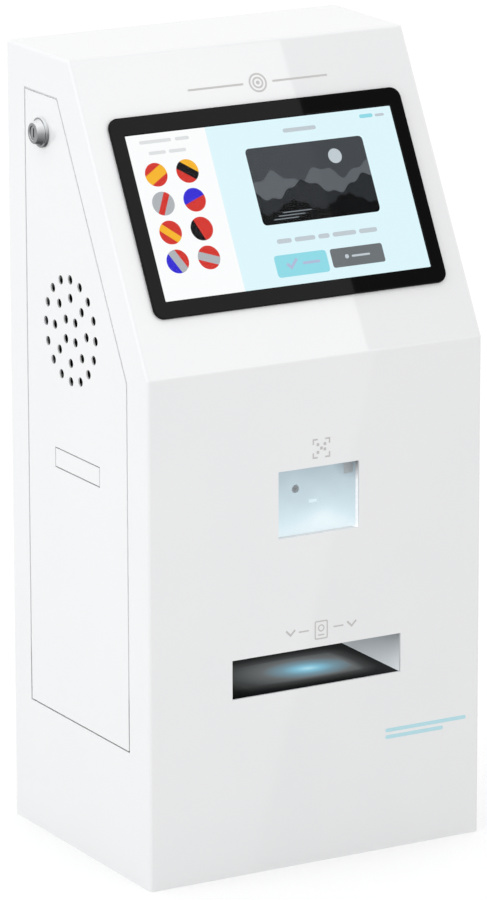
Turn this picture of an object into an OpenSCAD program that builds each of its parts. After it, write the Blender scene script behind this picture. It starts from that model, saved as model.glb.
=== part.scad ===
// Self-service check-in kiosk: a welded sheet-metal cabinet with a leaning touch screen, a code reader
// window, a passport pocket and a lockable service door in its left side.
// Millimetres, +Z up, the front faces -Y, origin at the middle of the footprint on the floor.

/* [Cabinet] */
// Overall width
body_w = 325; // [315:1:350]
// Overall depth
body_d = 244; // [236:1:270]
// Overall height
body_h = 691; // [680:1:720]
// Height at which the front starts to lean back
slope_start = 444; // [436:1:452]
// Depth of the flat top
top_depth = 110; // [100:1:120]
// Thickness of the cabinet sheet
sheet = 2; // [1.5:0.1:2.5]
// Outside radius of the folds
fold_r = 4; // [3:0.5:6]
// Rounding of the ground corner welds
edge_r = 3; // [2:0.5:3]
// Thickness of the base plate
base_t = 3; // [2:0.5:5]
// Width of the flanges behind the rear panel
flange_w = 18; // [16:1:24]
// Gap around pieces that drop into a seat
seat_gap = 0.3; // [0.2:0.05:0.5]

/* [Floor fixing] */
// Hole spacing across the width
bolt_span_x = 240; // [200:5:260]
// Hole spacing along the depth
bolt_span_y = 160; // [120:5:180]
// Diameter of the floor bolt holes
bolt_hole_d = 9; // [6:0.5:11]

/* [Service door] */
// Margin from the cabinet outline to the door opening
door_margin = 35; // [33:0.5:37]
// Distance from the cabinet's rear edge to the door opening
door_rear_margin = 30; // [28:0.5:32]
// Height of the opening's lower edge
door_sill = 113.5; // [108:0.5:120]
// Seam beside and above the door
door_gap = 2; // [1.4:0.1:2.2]
// Seam below the door
door_foot_gap = 1.2; // [1.2:0.1:2]
// Thickness of the door sheet
door_t = 1.5; // [1:0.1:1.5]
// Depth of the stiffening flange
stiffener_depth = 12; // [11:0.5:13]
// Distance from the door's edge to the stiffening flange
stiffener_inset = 12; // [11:0.5:13]
// Width of the stop strip behind the door's edge
stop_overlap = 8; // [6:0.5:9]
// Height of the hinge line above the door's lower edge
hinge_rise = 16; // [15:0.5:20]
// Distance of the hinge line behind the door's face
hinge_setback = 7; // [6.5:0.25:7.5]
// Diameter of the hinge pins
hinge_pin_d = 5; // [4:0.5:6]
// Radial clearance of turning pins
turn_clearance = 0.05; // [0.03:0.01:0.09]

/* [Blanking plate] */
// Width of the plate
blank_w = 80; // [70:1:90]
// Height of the plate
blank_h = 18; // [14:1:22]
// Height of its middle above the floor
blank_z = 343; // [320:1:360]
// Seam around the plate
blank_gap = 1; // [0.4:0.1:1.4]

/* [Loudspeaker] */
// Height of the loudspeaker's middle above the floor
speaker_z = 459.5; // [450:0.5:470]
// Distance of the loudspeaker behind the middle of the door
speaker_shift = 3.3; // [0:0.1:6]
// Outside diameter of the loudspeaker
speaker_d = 106; // [104:1:110]
// Depth of the loudspeaker behind the door
speaker_depth = 40; // [36:1:44]
// Diameter of the grille holes
grille_hole_d = 8; // [6:0.5:9]
// Radius of the inner ring of holes
grille_r1 = 12; // [11:0.5:13]
// Radius of the middle ring of holes
grille_r2 = 28.2; // [27:0.1:29]
// Radius of the outer ring of holes
grille_r3 = 44.2; // [43:0.1:45]

/* [Lock] */
// Distance of the lock below the top of the opening
lock_drop = 34; // [32:0.5:36]
// Distance of the lock behind the middle of the door
lock_shift = 6.8; // [5:0.1:8]
// Diameter of the lock's head
lock_head_d = 26; // [24:0.5:28]
// How far the head stands proud of the door
lock_proud = 9; // [7:0.5:10]
// Diameter of the lock's barrel
lock_barrel_d = 19; // [18:0.5:20]
// Length of the barrel behind the door
lock_barrel_len = 16; // [15.5:0.25:17]
// Diameter of the turning plug
lock_plug_d = 12; // [11:0.5:13]
// Length of the cam from the lock's axis
cam_len = 35; // [34:0.5:36]
// Thickness of the cam
cam_t = 2.5; // [2:0.25:3]

/* [Touch screen] */
// Width of the bezel
bezel_w = 283.6; // [280:0.1:290]
// Height of the bezel
bezel_h = 175.8; // [173:0.1:180]
// Corner radius of the bezel
bezel_corner = 9.5; // [6:0.5:12]
// How far the bezel stands proud of the leaning face
bezel_proud = 3; // [2:0.25:4]
// Width of the lit area
screen_w = 256.4; // [250:0.1:258]
// Height of the lit area
screen_h = 144; // [140:0.1:146]
// Distance of the bezel's middle below the middle of the leaning face
bezel_drop = 2.2; // [0:0.1:4]
// Distance from the bezel's lower edge to the lit area
screen_foot = 15.1; // [13:0.1:17]
// Depth of the screen's housing behind the leaning face
screen_depth = 34; // [30:1:38]

/* [Code reader] */
// Width of the window
window_w = 78.7; // [74:0.1:84]
// Height of the window
window_h = 58.5; // [55:0.1:64]
// Distance of the window to the right of the cabinet's middle
window_x = 1.7; // [0:0.1:3]
// Height of the window's middle above the floor
window_z = 321.1; // [310:0.1:330]
// Depth of the glass behind the front face
window_recess = 6; // [5:0.25:8]
// Thickness of the window glass
window_glass_t = 3; // [2:0.25:4]
// Depth of the scanner
scanner_d = 30; // [26:1:34]

/* [Passport pocket] */
// Width of the pocket
pocket_w = 165.3; // [160:0.1:170]
// Height of the pocket
pocket_h = 34.5; // [28:0.1:36]
// Depth of the pocket from the front face
pocket_d = 102; // [96:1:106]
// Height of the pocket's middle above the floor
pocket_z = 174.6; // [168:0.1:182]
// Wall of the pocket's liner
liner_wall = 2.5; // [2:0.25:3]
// Thickness of the glass floor
pocket_glass_t = 3; // [2:0.25:4]
// Depth of the reader below the glass
reader_depth = 66; // [60:1:70]

/* [Rear connections] */
// Distance of the mains inlet from the middle
inlet_x = 95; // [85:1:100]
// Height of the mains inlet's middle above the floor
inlet_z = 62; // [58:1:70]
// Distance of the network socket from the middle
network_x = 40; // [30:1:50]
// Half of the rocker switch's swing
rocker_tilt = 6; // [4:0.5:8]
// Length of the vent slots
vent_len = 80; // [60:1:100]
// Width of the vent slots
vent_w = 3.5; // [2.5:0.25:4]

/* [Inside units] */
// Computer: thickness, depth and height
computer_size = [48, 112, 117]; // [40:1:130]
// Height of the computer's lower side
computer_z = 250; // [240:1:270]
// Power supply: width, depth and height
supply_size = [129, 97, 30]; // [28:1:140]

/* [Hidden] */
$fn = 48;

// Cut-outs are made longer than what they cut by this much at each end
over = 1;

// Grinding runs past the ends of a corner by this much
grind_run = 20;

// Outline of the cabinet seen from the side
front_y = -body_d / 2;
rear_y = body_d / 2;
slope_run = body_d - top_depth;
slope_rise = body_h - slope_start;
lean = atan2(slope_run, slope_rise);
slope_len = norm([slope_run, slope_rise]);
top_y = front_y + slope_run;
inner_x = body_w / 2 - sheet;
left_x = -body_w / 2;

// Corners of the side outline, moved inwards by a margin, above a given height
function outline(m, sill) = [
    [front_y + m, sill],
    [front_y + m, slope_start - m * tan(lean / 2)],
    [top_y + m * tan(45 - lean / 2), body_h - m],
    [rear_y - m, body_h - m],
    [rear_y - m, sill]];

// Where the leaning edge of that outline lies at a height
function leaning_y(m, z) = front_y + m + max(0, z - slope_start + m * tan(lean / 2)) * tan(lean);

// Middle of the door opening's width at a height
function door_middle(z) = (leaning_y(door_margin, z) + rear_y - door_rear_margin) / 2;

// Outline of the door and of what follows it, with the rear edge set by the rear margin
door_back = [door_margin - door_rear_margin, 0];
function door_outline(m, sill) = [
    for (i = [0 : 4]) outline(m, sill)[i] + (i < 3 ? [0, 0] : door_back)];

// Edge of the door opening beside a hinge, at the rear for side 0 and mirrored to the front for side 1
function hinge_edge(side) = rear_y - (side == 0 ? door_rear_margin : door_margin);

// Screws, studs and nuts
m4_r = 2;
m4_hole_r = 2.2;
m4_head_r = 4;
m4_nut_r = 4.04;
m4_nut_h = 3.2;
stud_len = 12;

// Service door
door_inset = door_margin + door_gap;
door_foot = door_sill + door_foot_gap;
stiffener_m = door_inset + stiffener_inset;
stiffener_t = 1.5;
hinge_x = left_x + hinge_setback;
hinge_z = door_foot + hinge_rise;
hinge_pin_r = hinge_pin_d / 2;
hinge_eye_wall = 3;
hinge_eye_r = hinge_pin_r + hinge_eye_wall;
bracket_t = 2.5;
bracket_leg = 20;
hinge_head_rim = 1.5;
hinge_head_r = hinge_pin_r + hinge_head_rim;
hinge_head_t = 2;
hinge_pin_tail = 1;
bracket_depth = hinge_setback + hinge_eye_r - sheet;
stop_clear = 30;
stop_low = hinge_z + stop_clear;
stop_weld = 10;
lock_z = body_h - door_margin - lock_drop;
lock_y = door_middle(lock_z) + lock_shift;
plug_sunk = 0.8;
lock_len = lock_proud + door_t + lock_barrel_len;
cam_x = left_x + door_t + lock_barrel_len;
strike_x = cam_x - seat_gap - sheet;
strike_h = 50;
strike_reach = 20;
strike_clear = 1;
speaker_y = door_middle(speaker_z) + speaker_shift;
blank_y = door_middle(blank_z);
blank_lip = 3;
blank_lip_t = 1.5;

// Loudspeaker
basket_flange_t = 2;
basket_wall = 1.5;
cone_edge = 8;
cone_r = speaker_d / 2 - cone_edge;
magnet_t = 14;
magnet_r = 27;
neck_r = 18;
screw_small_r = 1.5;
speaker_screw_r = speaker_d / 2 - 2 * screw_small_r;

// Touch screen
bezel_s = slope_len / 2 - bezel_drop;
screen_s = bezel_s - bezel_h / 2 + screen_foot + screen_h / 2;
bezel_reveal = 0.5;
glass_gap = 0.2;
glass_low = 0.3;
panel_gap = 0.8;
glass_sunk = 0.5;
panel_rim = 3;
panel_t = 6.5;
panel_low = glass_low - panel_gap - panel_t;
screen_cut_rim = 6;
screen_cut_w = screen_w + 2 * screen_cut_rim;
screen_cut_h = screen_h + 2 * screen_cut_rim;
cover_rim = 4;
cover_w = screen_cut_w + 2 * cover_rim;
cover_h = screen_cut_h + 2 * cover_rim;
cover_corner = 8;
ear_w = 16;
ear_t = 3;
ear_x = 90;

// Code reader
tunnel_wall = 6;
tunnel_flange = 18;
tunnel_flange_t = 2;
tunnel_tail = 5;
tunnel_len = window_recess + window_glass_t + tunnel_tail - sheet;
glass_lap = 2;
diffuser_front = window_recess + window_glass_t + glass_gap;
diffuser_t = 2;
scanner_w = 78;
scanner_h = 54;
scanner_corner = 4;
scanner_gap = 4;
scanner_face = sheet + tunnel_len + scanner_gap;
scanner_back = scanner_face + scanner_d;
tip_sunk = 0.5;
scanner_tip = diffuser_front + tip_sunk;
scanner_seat = 4;
eye_at = [-17.7, 9.9];
eye_r = 3.5;
lamp_at = [-0.7, -2.6];
lamp_size = [8, 2.4];
sensor_at = [34, 21.5];
sensor_size = [9, 9];
scanner_bracket_t = 1.5;
scanner_bracket_w = 30;
scanner_rear = scanner_back + scanner_bracket_t;
scanner_foot = 16;
scanner_leg_x = window_w / 2 + tunnel_wall + seat_gap;
scanner_foot_x = scanner_leg_x + scanner_foot / 2;

// Passport pocket
pocket_low = pocket_z - pocket_h / 2;
pocket_high = pocket_z + pocket_h / 2;
pocket_back = front_y + pocket_d;
pocket_lip = 4;
pocket_ledge = 2;
pocket_flange = 14;
pocket_flange_t = 2;
ledge_z = pocket_low - pocket_glass_t - pocket_ledge;
reader_wall = 2.5;
reader_w = pocket_w;
reader_clear = 2;
reader_front = front_y + sheet + pocket_flange_t + reader_clear;
reader_z = ledge_z - reader_depth;
shelf_t = 2;
shelf_flange = 30;
light_t = 3;
light_step = 2;
camera_r = 11;
camera_base = 10;
camera_len = 18;
camera_step = 3;
camera_rim = 2;
camera_hollow = 2;
shelf_nut_z = reader_z - shelf_t - shelf_flange / 2;

// Rear connections
inlet_w = 30;
inlet_h = 60;
inlet_flange_t = 2.5;
inlet_body_w = 27;
inlet_body_h = 48;
inlet_body_d = 28;
inlet_mouth_w = 24.6;
inlet_mouth_h = 16.4;
inlet_mouth_d = 17;
inlet_mouth_drop = 11;
inlet_mouth_cut = 4.5;
rocker_w = 13;
rocker_h = 20;
rocker_rise = 12.5;
rocker_d = 12;
rocker_gap = 0.5;
rocker_pivot_r = 1.2;
rocker_pivot_depth = 5;
rocker_tab_x = 4;
rocker_tab_rise = 5;
socket_w = 16;
socket_h = 16;
socket_d = 20;
socket_mouth_w = 11.8;
socket_mouth_h = 8;
socket_mouth_d = 14;
socket_flange = 3;
vent_pitch = 9;
vent_rows = 8;
vent_drop = 131;
vent_low = body_h - vent_drop;
vent_bridge = 16;

// Rear panel screws: places along each flange
screw_x = inner_x - flange_w / 2;
screw_rows = 4;
screw_end = 40;
rear_screw_len = 10;
function screw_z(i) = base_t + screw_end + i * (body_h - base_t - 2 * screw_end) / (screw_rows - 1);

// Inside units
computer_y = 10;
computer_bracket_t = 2;
computer_tab = 20;
computer_mid = computer_z + computer_size[2] / 2;
computer_nut_z = computer_size[2] / 2 + computer_bracket_t + computer_tab / 2;
supply_x = -60;
supply_y = -8;
supply_foot = 12;
supply_foot_t = 2;
terminal_d = 14;
terminal_edge = 5;
terminal_low = 12;

white = "white";
grey = "lightgrey";
dark = [0.12, 0.12, 0.13];

// Frames of the outside faces and of the code window: x across, y up the face, z outwards
module on_front() {
    translate([0, front_y, 0]) rotate([90, 0, 0]) children();
}
module at_window() {
    on_front() translate([window_x, window_z, 0]) children();
}
module on_slope() {
    translate([0, front_y, slope_start]) rotate([90 - lean, 0, 0]) children();
}
module on_top() {
    translate([0, top_y, body_h]) children();
}
module on_rear() {
    translate([0, rear_y, 0]) rotate([90, 0, 180]) children();
}

// Frame at a point of the left side, z pointing into the cabinet
module into_left(y, z, depth = 0) {
    translate([left_x + depth, y, z]) rotate([0, 90, 0]) children();
}

// Side outline drawn in y and z, extruded along the width
module along_x(x, len) {
    translate([x, 0, 0]) rotate([90, 0, 90]) linear_extrude(len) children();
}

// Slab centred in its plane
module slab(w, h, t) {
    translate([-w / 2, -h / 2, 0]) cube([w, h, t]);
}

// Slab with rounded corners
module rounded_slab(w, h, t, r) {
    linear_extrude(t) hull() {
        for (sx = [-1, 1], sy = [-1, 1]) {
            translate([sx * (w / 2 - r), sy * (h / 2 - r)]) circle(r);
        }
    }
}

// Side outline with rounded folds at the two bends
module folded_outline(m, sill) {
    corners = outline(m, sill);
    bends = outline(fold_r, sill);
    r = fold_r - m;
    out_of_front = [-r, 0];
    out_of_slope = [-r * cos(lean), r * sin(lean)];
    out_of_top = [0, r];
    hull() {
        for (i = [1, 2]) {
            translate(bends[i]) circle(r);
        }
        polygon([corners[0], bends[1] + out_of_front, bends[1] + out_of_slope, bends[2] + out_of_slope,
            bends[2] + out_of_top, corners[3], corners[4]]);
    }
}

// What grinding takes off one long outside corner, with the cabinet towards +x and -z
module corner_grind(len) {
    translate([0, -grind_run, 0]) rotate([-90, 0, 0]) linear_extrude(len + 2 * grind_run) difference() {
        translate([-over, -over]) square(edge_r + over);
        translate([edge_r, edge_r]) circle(edge_r);
    }
}

// Both long corners of the front, the leaning face and the top
module ground_corners() {
    for (side = [0, 1]) {
        mirror([side, 0, 0]) {
            on_front() translate([left_x, 0, 0]) corner_grind(slope_start);
            on_slope() translate([left_x, 0, 0]) corner_grind(slope_len);
            on_top() translate([left_x, 0, 0]) corner_grind(top_depth);
        }
    }
}

// Weld stud with its nut, standing on the z = 0 plane
module stud_with_nut(grip) {
    cylinder(r = m4_r, h = stud_len);
    translate([0, 0, grip]) cylinder(r = m4_nut_r, h = m4_nut_h, $fn = 6);
}

// Slot with round ends through a plate, centred, long along x
module round_slot(len, w, t) {
    straight = len - w;
    translate([-straight / 2, -w / 2, 0]) cube([straight, w, t]);
    for (s = [-1, 1]) {
        translate([s * straight / 2, 0, 0]) cylinder(d = w, h = t);
    }
}

// Cabinet

module front_wrap() {
    color(white) difference() {
        along_x(-inner_x, 2 * inner_x) difference() {
            folded_outline(0, 0);
            folded_outline(sheet, -over);
            translate([rear_y - sheet, -over]) square([sheet + over, body_h - sheet + over]);
        }
        on_slope() translate([0, screen_s, -sheet - over])
            slab(screen_cut_w, screen_cut_h, sheet + 2 * over);
        at_window() translate([0, 0, -sheet - over]) slab(window_w, window_h, sheet + 2 * over);
        on_front() translate([0, pocket_z, -sheet - over]) slab(pocket_w, pocket_h, sheet + 2 * over);
        ground_corners();
    }
}

// Flat side wall with the flange behind the rear panel; drawn for the left side
module cheek_blank() {
    difference() {
        along_x(left_x, sheet) folded_outline(0, 0);
        ground_corners();
    }
    difference() {
        translate([-inner_x, rear_y - 2 * sheet, base_t]) cube([flange_w, sheet, body_h - sheet - base_t]);
        for (i = [0 : screw_rows - 1]) {
            translate([-screw_x, rear_y, screw_z(i)]) rotate([90, 0, 0])
                cylinder(r = m4_r + turn_clearance, h = 3 * sheet);
        }
    }
}

module left_cheek() {
    color(white) difference() {
        cheek_blank();
        along_x(left_x - over, sheet + 2 * over) polygon(door_outline(door_margin, door_sill));
    }
}

module right_cheek() {
    color(white) mirror([1, 0, 0]) cheek_blank();
}

module base_plate() {
    color(white) difference() {
        translate([-inner_x, front_y + sheet, 0]) cube([2 * inner_x, body_d - sheet, base_t]);
        for (sx = [-1, 1], sy = [-1, 1]) {
            translate([sx * bolt_span_x / 2, sy * bolt_span_y / 2, -over])
                cylinder(d = bolt_hole_d, h = base_t + 2 * over);
        }
    }
}

module rear_panel() {
    w = 2 * (inner_x - seat_gap);
    low = base_t + seat_gap;
    high = body_h - sheet - seat_gap;
    color(white) on_rear() difference() {
        translate([-w / 2, low, -sheet]) cube([w, high - low, sheet]);
        for (side = [-1, 1], i = [0 : screw_rows - 1]) {
            translate([side * screw_x, screw_z(i), -sheet])
                cylinder(r1 = m4_hole_r, r2 = m4_head_r + seat_gap, h = sheet);
        }
        for (side = [-1, 1], i = [0 : vent_rows - 1]) {
            translate([side * (vent_len + vent_bridge) / 2, vent_low + i * vent_pitch, -sheet - over])
                round_slot(vent_len, vent_w, sheet + 2 * over);
        }
        translate([-inlet_x, inlet_z, -sheet - over])
            slab(inlet_body_w + seat_gap, inlet_body_h + seat_gap, sheet + 2 * over);
        translate([-network_x, inlet_z, -sheet - over])
            slab(socket_w + seat_gap, socket_h + seat_gap, sheet + 2 * over);
    }
}

// Countersunk screws, heads flush with the rear panel
module rear_panel_screws() {
    key_r = 1.3;
    key_depth = 1.2;
    color("silver") on_rear() for (side = [-1, 1], i = [0 : screw_rows - 1]) {
        translate([side * screw_x, screw_z(i), 0]) difference() {
            union() {
                translate([0, 0, -sheet]) cylinder(r1 = m4_r, r2 = m4_head_r, h = sheet);
                translate([0, 0, -rear_screw_len]) cylinder(r = m4_r, h = rear_screw_len - sheet);
            }
            translate([0, 0, -key_depth]) cylinder(r = key_r, h = key_depth + over, $fn = 6);
        }
    }
}

// Strip welded behind the edge of the opening, left out along the hinge
module door_stop() {
    welded = door_margin - stop_weld;
    color(white) along_x(-inner_x, sheet) difference() {
        polygon(door_outline(welded, stop_low));
        polygon(door_outline(door_margin + stop_overlap, stop_low - over));
    }
}

// Angle brackets welded beside the opening, one for each hinge pin
module hinge_brackets() {
    color(white) for (side = [0, 1]) {
        mirror([0, side, 0]) translate([-inner_x, hinge_edge(side) + seat_gap, hinge_z]) difference() {
            union() {
                translate([0, 0, -2 * hinge_eye_r]) cube([sheet, bracket_leg, 4 * hinge_eye_r]);
                translate([0, 0, -2 * hinge_eye_r]) cube([bracket_depth, bracket_t, 4 * hinge_eye_r]);
            }
            translate([hinge_setback - sheet, -over, 0]) rotate([-90, 0, 0])
                cylinder(r = hinge_pin_r + turn_clearance, h = bracket_t + 2 * over);
            translate([hinge_setback - sheet, bracket_t, 0]) rotate([-90, 0, 0])
                cylinder(r = hinge_head_r + seat_gap, h = hinge_head_t + seat_gap);
        }
    }
}

// Headed pins from the brackets into the eyes of the door's stiffener
module hinge_pins() {
    tip = stiffener_m - door_margin + stiffener_t + hinge_pin_tail;
    root = tip + seat_gap + bracket_t;
    color("silver") for (side = [0, 1]) {
        mirror([0, side, 0]) translate([hinge_x, hinge_edge(side) - tip, hinge_z]) rotate([-90, 0, 0]) {
            cylinder(r = hinge_pin_r, h = root + hinge_head_t);
            translate([0, 0, root]) cylinder(r = hinge_head_r, h = hinge_head_t);
        }
    }
}

// Angle behind the rear edge of the opening that the cam catches
module lock_strike() {
    web_y = rear_y - door_rear_margin + stop_weld + seat_gap;
    foot = rear_y - 2 * sheet - web_y - strike_clear;
    reach_y = web_y - strike_reach;
    color(white) translate([0, 0, lock_z - strike_h / 2]) {
        translate([-inner_x, web_y, 0]) cube([sheet, foot, strike_h]);
        translate([-inner_x, web_y, 0]) cube([strike_x + sheet + inner_x, sheet, strike_h]);
        translate([strike_x, reach_y, 0]) cube([sheet, strike_reach + sheet, strike_h]);
    }
}

// All weld studs and nuts behind the white panels
module panel_nuts() {
    color("silver") {
        on_slope() for (sx = [-1, 1], sy = [-1, 1]) {
            translate([sx * ear_x, screen_s + sy * (cover_h + ear_w) / 2, -sheet]) mirror([0, 0, 1])
                stud_with_nut(ear_t);
        }
        at_window() for (sx = [-1, 1]) {
            translate([sx * scanner_foot_x, 0, -sheet]) mirror([0, 0, 1])
                stud_with_nut(tunnel_flange_t + scanner_bracket_t);
        }
        on_front() for (sx = [-1, 1], z = [pocket_z, shelf_nut_z]) {
            translate([sx * (pocket_w + pocket_flange) / 2, z, -sheet]) mirror([0, 0, 1])
                stud_with_nut(z == pocket_z ? pocket_flange_t : shelf_t);
        }
        for (sz = [-1, 1]) {
            translate([inner_x, computer_y, computer_mid + sz * computer_nut_z])
                rotate([0, -90, 0]) stud_with_nut(computer_bracket_t);
        }
        for (x = [-supply_foot / 2, supply_size[0] + supply_foot / 2]) {
            translate([supply_x + x, supply_y + supply_size[1] / 2, base_t]) stud_with_nut(supply_foot_t);
        }
    }
}

// Touch screen

module display_bezel() {
    color(dark) on_slope() translate([0, bezel_s, 0]) difference() {
        rounded_slab(bezel_w, bezel_h, bezel_proud, bezel_corner);
        translate([0, screen_s - bezel_s, -over])
            slab(screen_w + 2 * bezel_reveal, screen_h + 2 * bezel_reveal, bezel_proud + 2 * over);
    }
}

module touch_glass() {
    trim = 2 * (bezel_reveal - glass_gap);
    color([0.7, 0.8, 0.85, 0.4]) on_slope() translate([0, screen_s, glass_low])
        slab(screen_w + trim, screen_h + trim, bezel_proud - glass_sunk - glass_low);
}

module lcd_panel() {
    color("azure") on_slope() translate([0, screen_s, panel_low])
        slab(screen_w + 2 * panel_rim, screen_h + 2 * panel_rim, panel_t);
}

// Housing behind the leaning face, with the panel's seat, cooling slots and four ears
module display_rear_cover() {
    slots = 7;
    slot_pitch = 8;
    slot_len = 120;
    color(dark) on_slope() translate([0, screen_s, 0]) difference() {
        union() {
            translate([0, 0, -screen_depth - sheet])
                rounded_slab(cover_w, cover_h, screen_depth, cover_corner);
            for (sx = [-1, 1], sy = [-1, 1]) {
                translate([sx * ear_x, sy * (cover_h + ear_w) / 2, -sheet - ear_t])
                    slab(ear_w, ear_w + 2 * over, ear_t);
            }
        }
        translate([0, 0, panel_low]) slab(screen_cut_w, screen_cut_h, -panel_low + over);
        for (sx = [-1, 1], sy = [-1, 1]) {
            translate([sx * ear_x, sy * (cover_h + ear_w) / 2, -sheet - ear_t - over])
                cylinder(r = m4_hole_r, h = ear_t + 2 * over);
        }
        for (i = [0 : slots - 1]) {
            translate([0, (i - (slots - 1) / 2) * slot_pitch, -screen_depth - sheet - over])
                round_slot(slot_len, vent_w, 3 * over);
        }
    }
}

// Code reader

// Square tunnel behind the front sheet that holds the glass in a groove
module scanner_tunnel() {
    glass_w = window_w + 2 * glass_lap;
    glass_h = window_h + 2 * glass_lap;
    color(white) at_window() translate([0, 0, -sheet]) mirror([0, 0, 1]) difference() {
        union() {
            slab(window_w + 2 * tunnel_wall, window_h + 2 * tunnel_wall, tunnel_len);
            slab(window_w + 2 * tunnel_wall + 2 * tunnel_flange, scanner_bracket_w, tunnel_flange_t);
        }
        translate([0, 0, -over]) slab(window_w, window_h, tunnel_len + 2 * over);
        translate([0, 0, window_recess - sheet])
            slab(glass_w, glass_h, tunnel_len);
        for (sx = [-1, 1]) {
            translate([sx * scanner_foot_x, 0, -over])
                cylinder(r = m4_hole_r, h = tunnel_flange_t + 2 * over);
        }
    }
}

module scanner_glass() {
    trim = 2 * (glass_lap - glass_gap);
    color([0.75, 0.88, 0.92, 0.5]) at_window() translate([0, 0, -window_recess - window_glass_t])
        slab(window_w + trim, window_h + trim, window_glass_t);
}

// White plate behind the glass, with openings for the scanner's eye, lamp and sensor
module scanner_plate() {
    trim = 2 * (glass_lap - glass_gap);
    color("aliceblue") at_window() translate([0, 0, -diffuser_front - diffuser_t]) difference() {
        slab(window_w + trim, window_h + trim, diffuser_t);
        translate([eye_at[0], eye_at[1], -over]) cylinder(r = eye_r + seat_gap, h = diffuser_t + 2 * over);
        translate([lamp_at[0], lamp_at[1], -over])
            slab(lamp_size[0] + 2 * seat_gap, lamp_size[1] + 2 * seat_gap, diffuser_t + 2 * over);
        translate([sensor_at[0], sensor_at[1], -over])
            slab(sensor_size[0] + 2 * seat_gap, sensor_size[1] + 2 * seat_gap, diffuser_t + 2 * over);
    }
}

// Scanner on the bracket's back plate, with a bored seat for its lens
module scanner() {
    color(dark) at_window() translate([0, 0, -scanner_back]) difference() {
        rounded_slab(scanner_w, scanner_h, scanner_d, scanner_corner);
        translate([eye_at[0], eye_at[1], scanner_d - scanner_seat])
            cylinder(r = eye_r + turn_clearance, h = scanner_seat + over);
    }
}

// Lens barrel with a hollow front
module scanner_lens() {
    rim = 0.6;
    hollow = 1;
    len = scanner_face + scanner_seat - scanner_tip;
    color("black") at_window() translate([eye_at[0], eye_at[1], -scanner_face - scanner_seat])
        difference() {
            cylinder(r = eye_r, h = len);
            translate([0, 0, len]) sphere_cut(eye_r - rim, hollow);
        }
}

module scanner_lamp() {
    color("white") at_window() translate([lamp_at[0], lamp_at[1], -scanner_face])
        rounded_slab(lamp_size[0], lamp_size[1], scanner_face - scanner_tip, lamp_size[1] / 3);
}

module scanner_sensor() {
    corner = 1;
    color(dark) at_window() translate([sensor_at[0], sensor_at[1], -scanner_face])
        rounded_slab(sensor_size[0], sensor_size[1], scanner_face - scanner_tip, corner);
}

// Shallow round hollow, a cap of a sphere of the given rim radius and depth, mouth at z = 0
module sphere_cut(rim, depth) {
    ball = (rim * rim + depth * depth) / (2 * depth);
    translate([0, 0, ball - depth]) sphere(ball);
}

// Hat-shaped strap from the tunnel's flange round the back of the scanner
module scanner_bracket() {
    front = sheet + tunnel_flange_t;
    color("silver") at_window() difference() {
        union() {
            for (sx = [-1, 1]) {
                translate([sx * scanner_foot_x, 0, -front - scanner_bracket_t])
                    slab(scanner_foot, scanner_bracket_w, scanner_bracket_t);
                translate([sx * (scanner_leg_x + scanner_bracket_t / 2), 0, -scanner_rear])
                    slab(scanner_bracket_t, scanner_bracket_w, scanner_rear - front);
            }
            translate([0, 0, -scanner_rear])
                slab(2 * scanner_leg_x + 2 * scanner_bracket_t, scanner_bracket_w, scanner_bracket_t);
        }
        for (sx = [-1, 1]) {
            translate([sx * scanner_foot_x, 0, -front - scanner_bracket_t - over])
                cylinder(r = m4_hole_r, h = scanner_bracket_t + 2 * over);
        }
    }
}

// Passport pocket

// Open-fronted box with a ledge for the glass and two ears behind the front sheet
module pocket_liner() {
    in_front = front_y + sheet;
    out_w = pocket_w + 2 * liner_wall;
    inside_d = pocket_back - in_front;
    color(grey) difference() {
        union() {
            translate([-out_w / 2, in_front, ledge_z])
                cube([out_w, pocket_back + liner_wall - in_front, pocket_high + liner_wall - ledge_z]);
            on_front() translate([0, pocket_z, -sheet - pocket_flange_t])
                slab(pocket_w + 2 * pocket_flange, pocket_h, pocket_flange_t);
        }
        translate([-pocket_w / 2, in_front - over, ledge_z + pocket_ledge])
            cube([pocket_w, inside_d + over, pocket_high - ledge_z - pocket_ledge]);
        translate([-pocket_w / 2 + pocket_lip, in_front + pocket_lip, ledge_z - over])
            cube([pocket_w - 2 * pocket_lip, inside_d - 2 * pocket_lip, pocket_ledge + 2 * over]);
        on_front() for (sx = [-1, 1]) {
            translate([sx * (pocket_w + pocket_flange) / 2, pocket_z, -sheet - pocket_flange_t - over])
                cylinder(r = m4_hole_r, h = pocket_flange_t + 2 * over);
        }
    }
}

module pocket_glass() {
    w = pocket_w - 2 * glass_gap;
    d = pocket_d - sheet - 2 * glass_gap;
    color([0.1, 0.12, 0.14, 0.6])
        translate([-w / 2, front_y + sheet + glass_gap, ledge_z + pocket_ledge])
            cube([w, d, pocket_glass_t]);
}

// Open-topped box under the ledge, with a step inside its rim for the light plate
module reader_housing() {
    d = pocket_back - reader_front;
    step = reader_wall + light_step;
    rim = light_t + seat_gap;
    color(dark) translate([-reader_w / 2, reader_front, reader_z]) difference() {
        cube([reader_w, d, reader_depth]);
        translate([step, step, reader_wall]) cube([reader_w - 2 * step, d - 2 * step, reader_depth]);
        translate([reader_wall, reader_wall, reader_depth - rim])
            cube([reader_w - 2 * reader_wall, d - 2 * reader_wall, rim + over]);
    }
}

// Clear plate that spreads the reader's light evenly under the glass
module reader_light() {
    edge = reader_wall + seat_gap;
    d = pocket_back - reader_front;
    color("aliceblue") translate([-reader_w / 2 + edge, reader_front + edge, ledge_z - seat_gap - light_t])
        cube([reader_w - 2 * edge, d - 2 * edge, light_t]);
}

module reader_camera() {
    color("black") translate([0, (reader_front + pocket_back) / 2, reader_z + reader_wall]) difference() {
        union() {
            cylinder(r = camera_r, h = camera_base);
            cylinder(r = camera_r - camera_step, h = camera_len);
        }
        translate([0, 0, camera_len]) sphere_cut(camera_r - camera_step - camera_rim, camera_hollow);
    }
}

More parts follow.
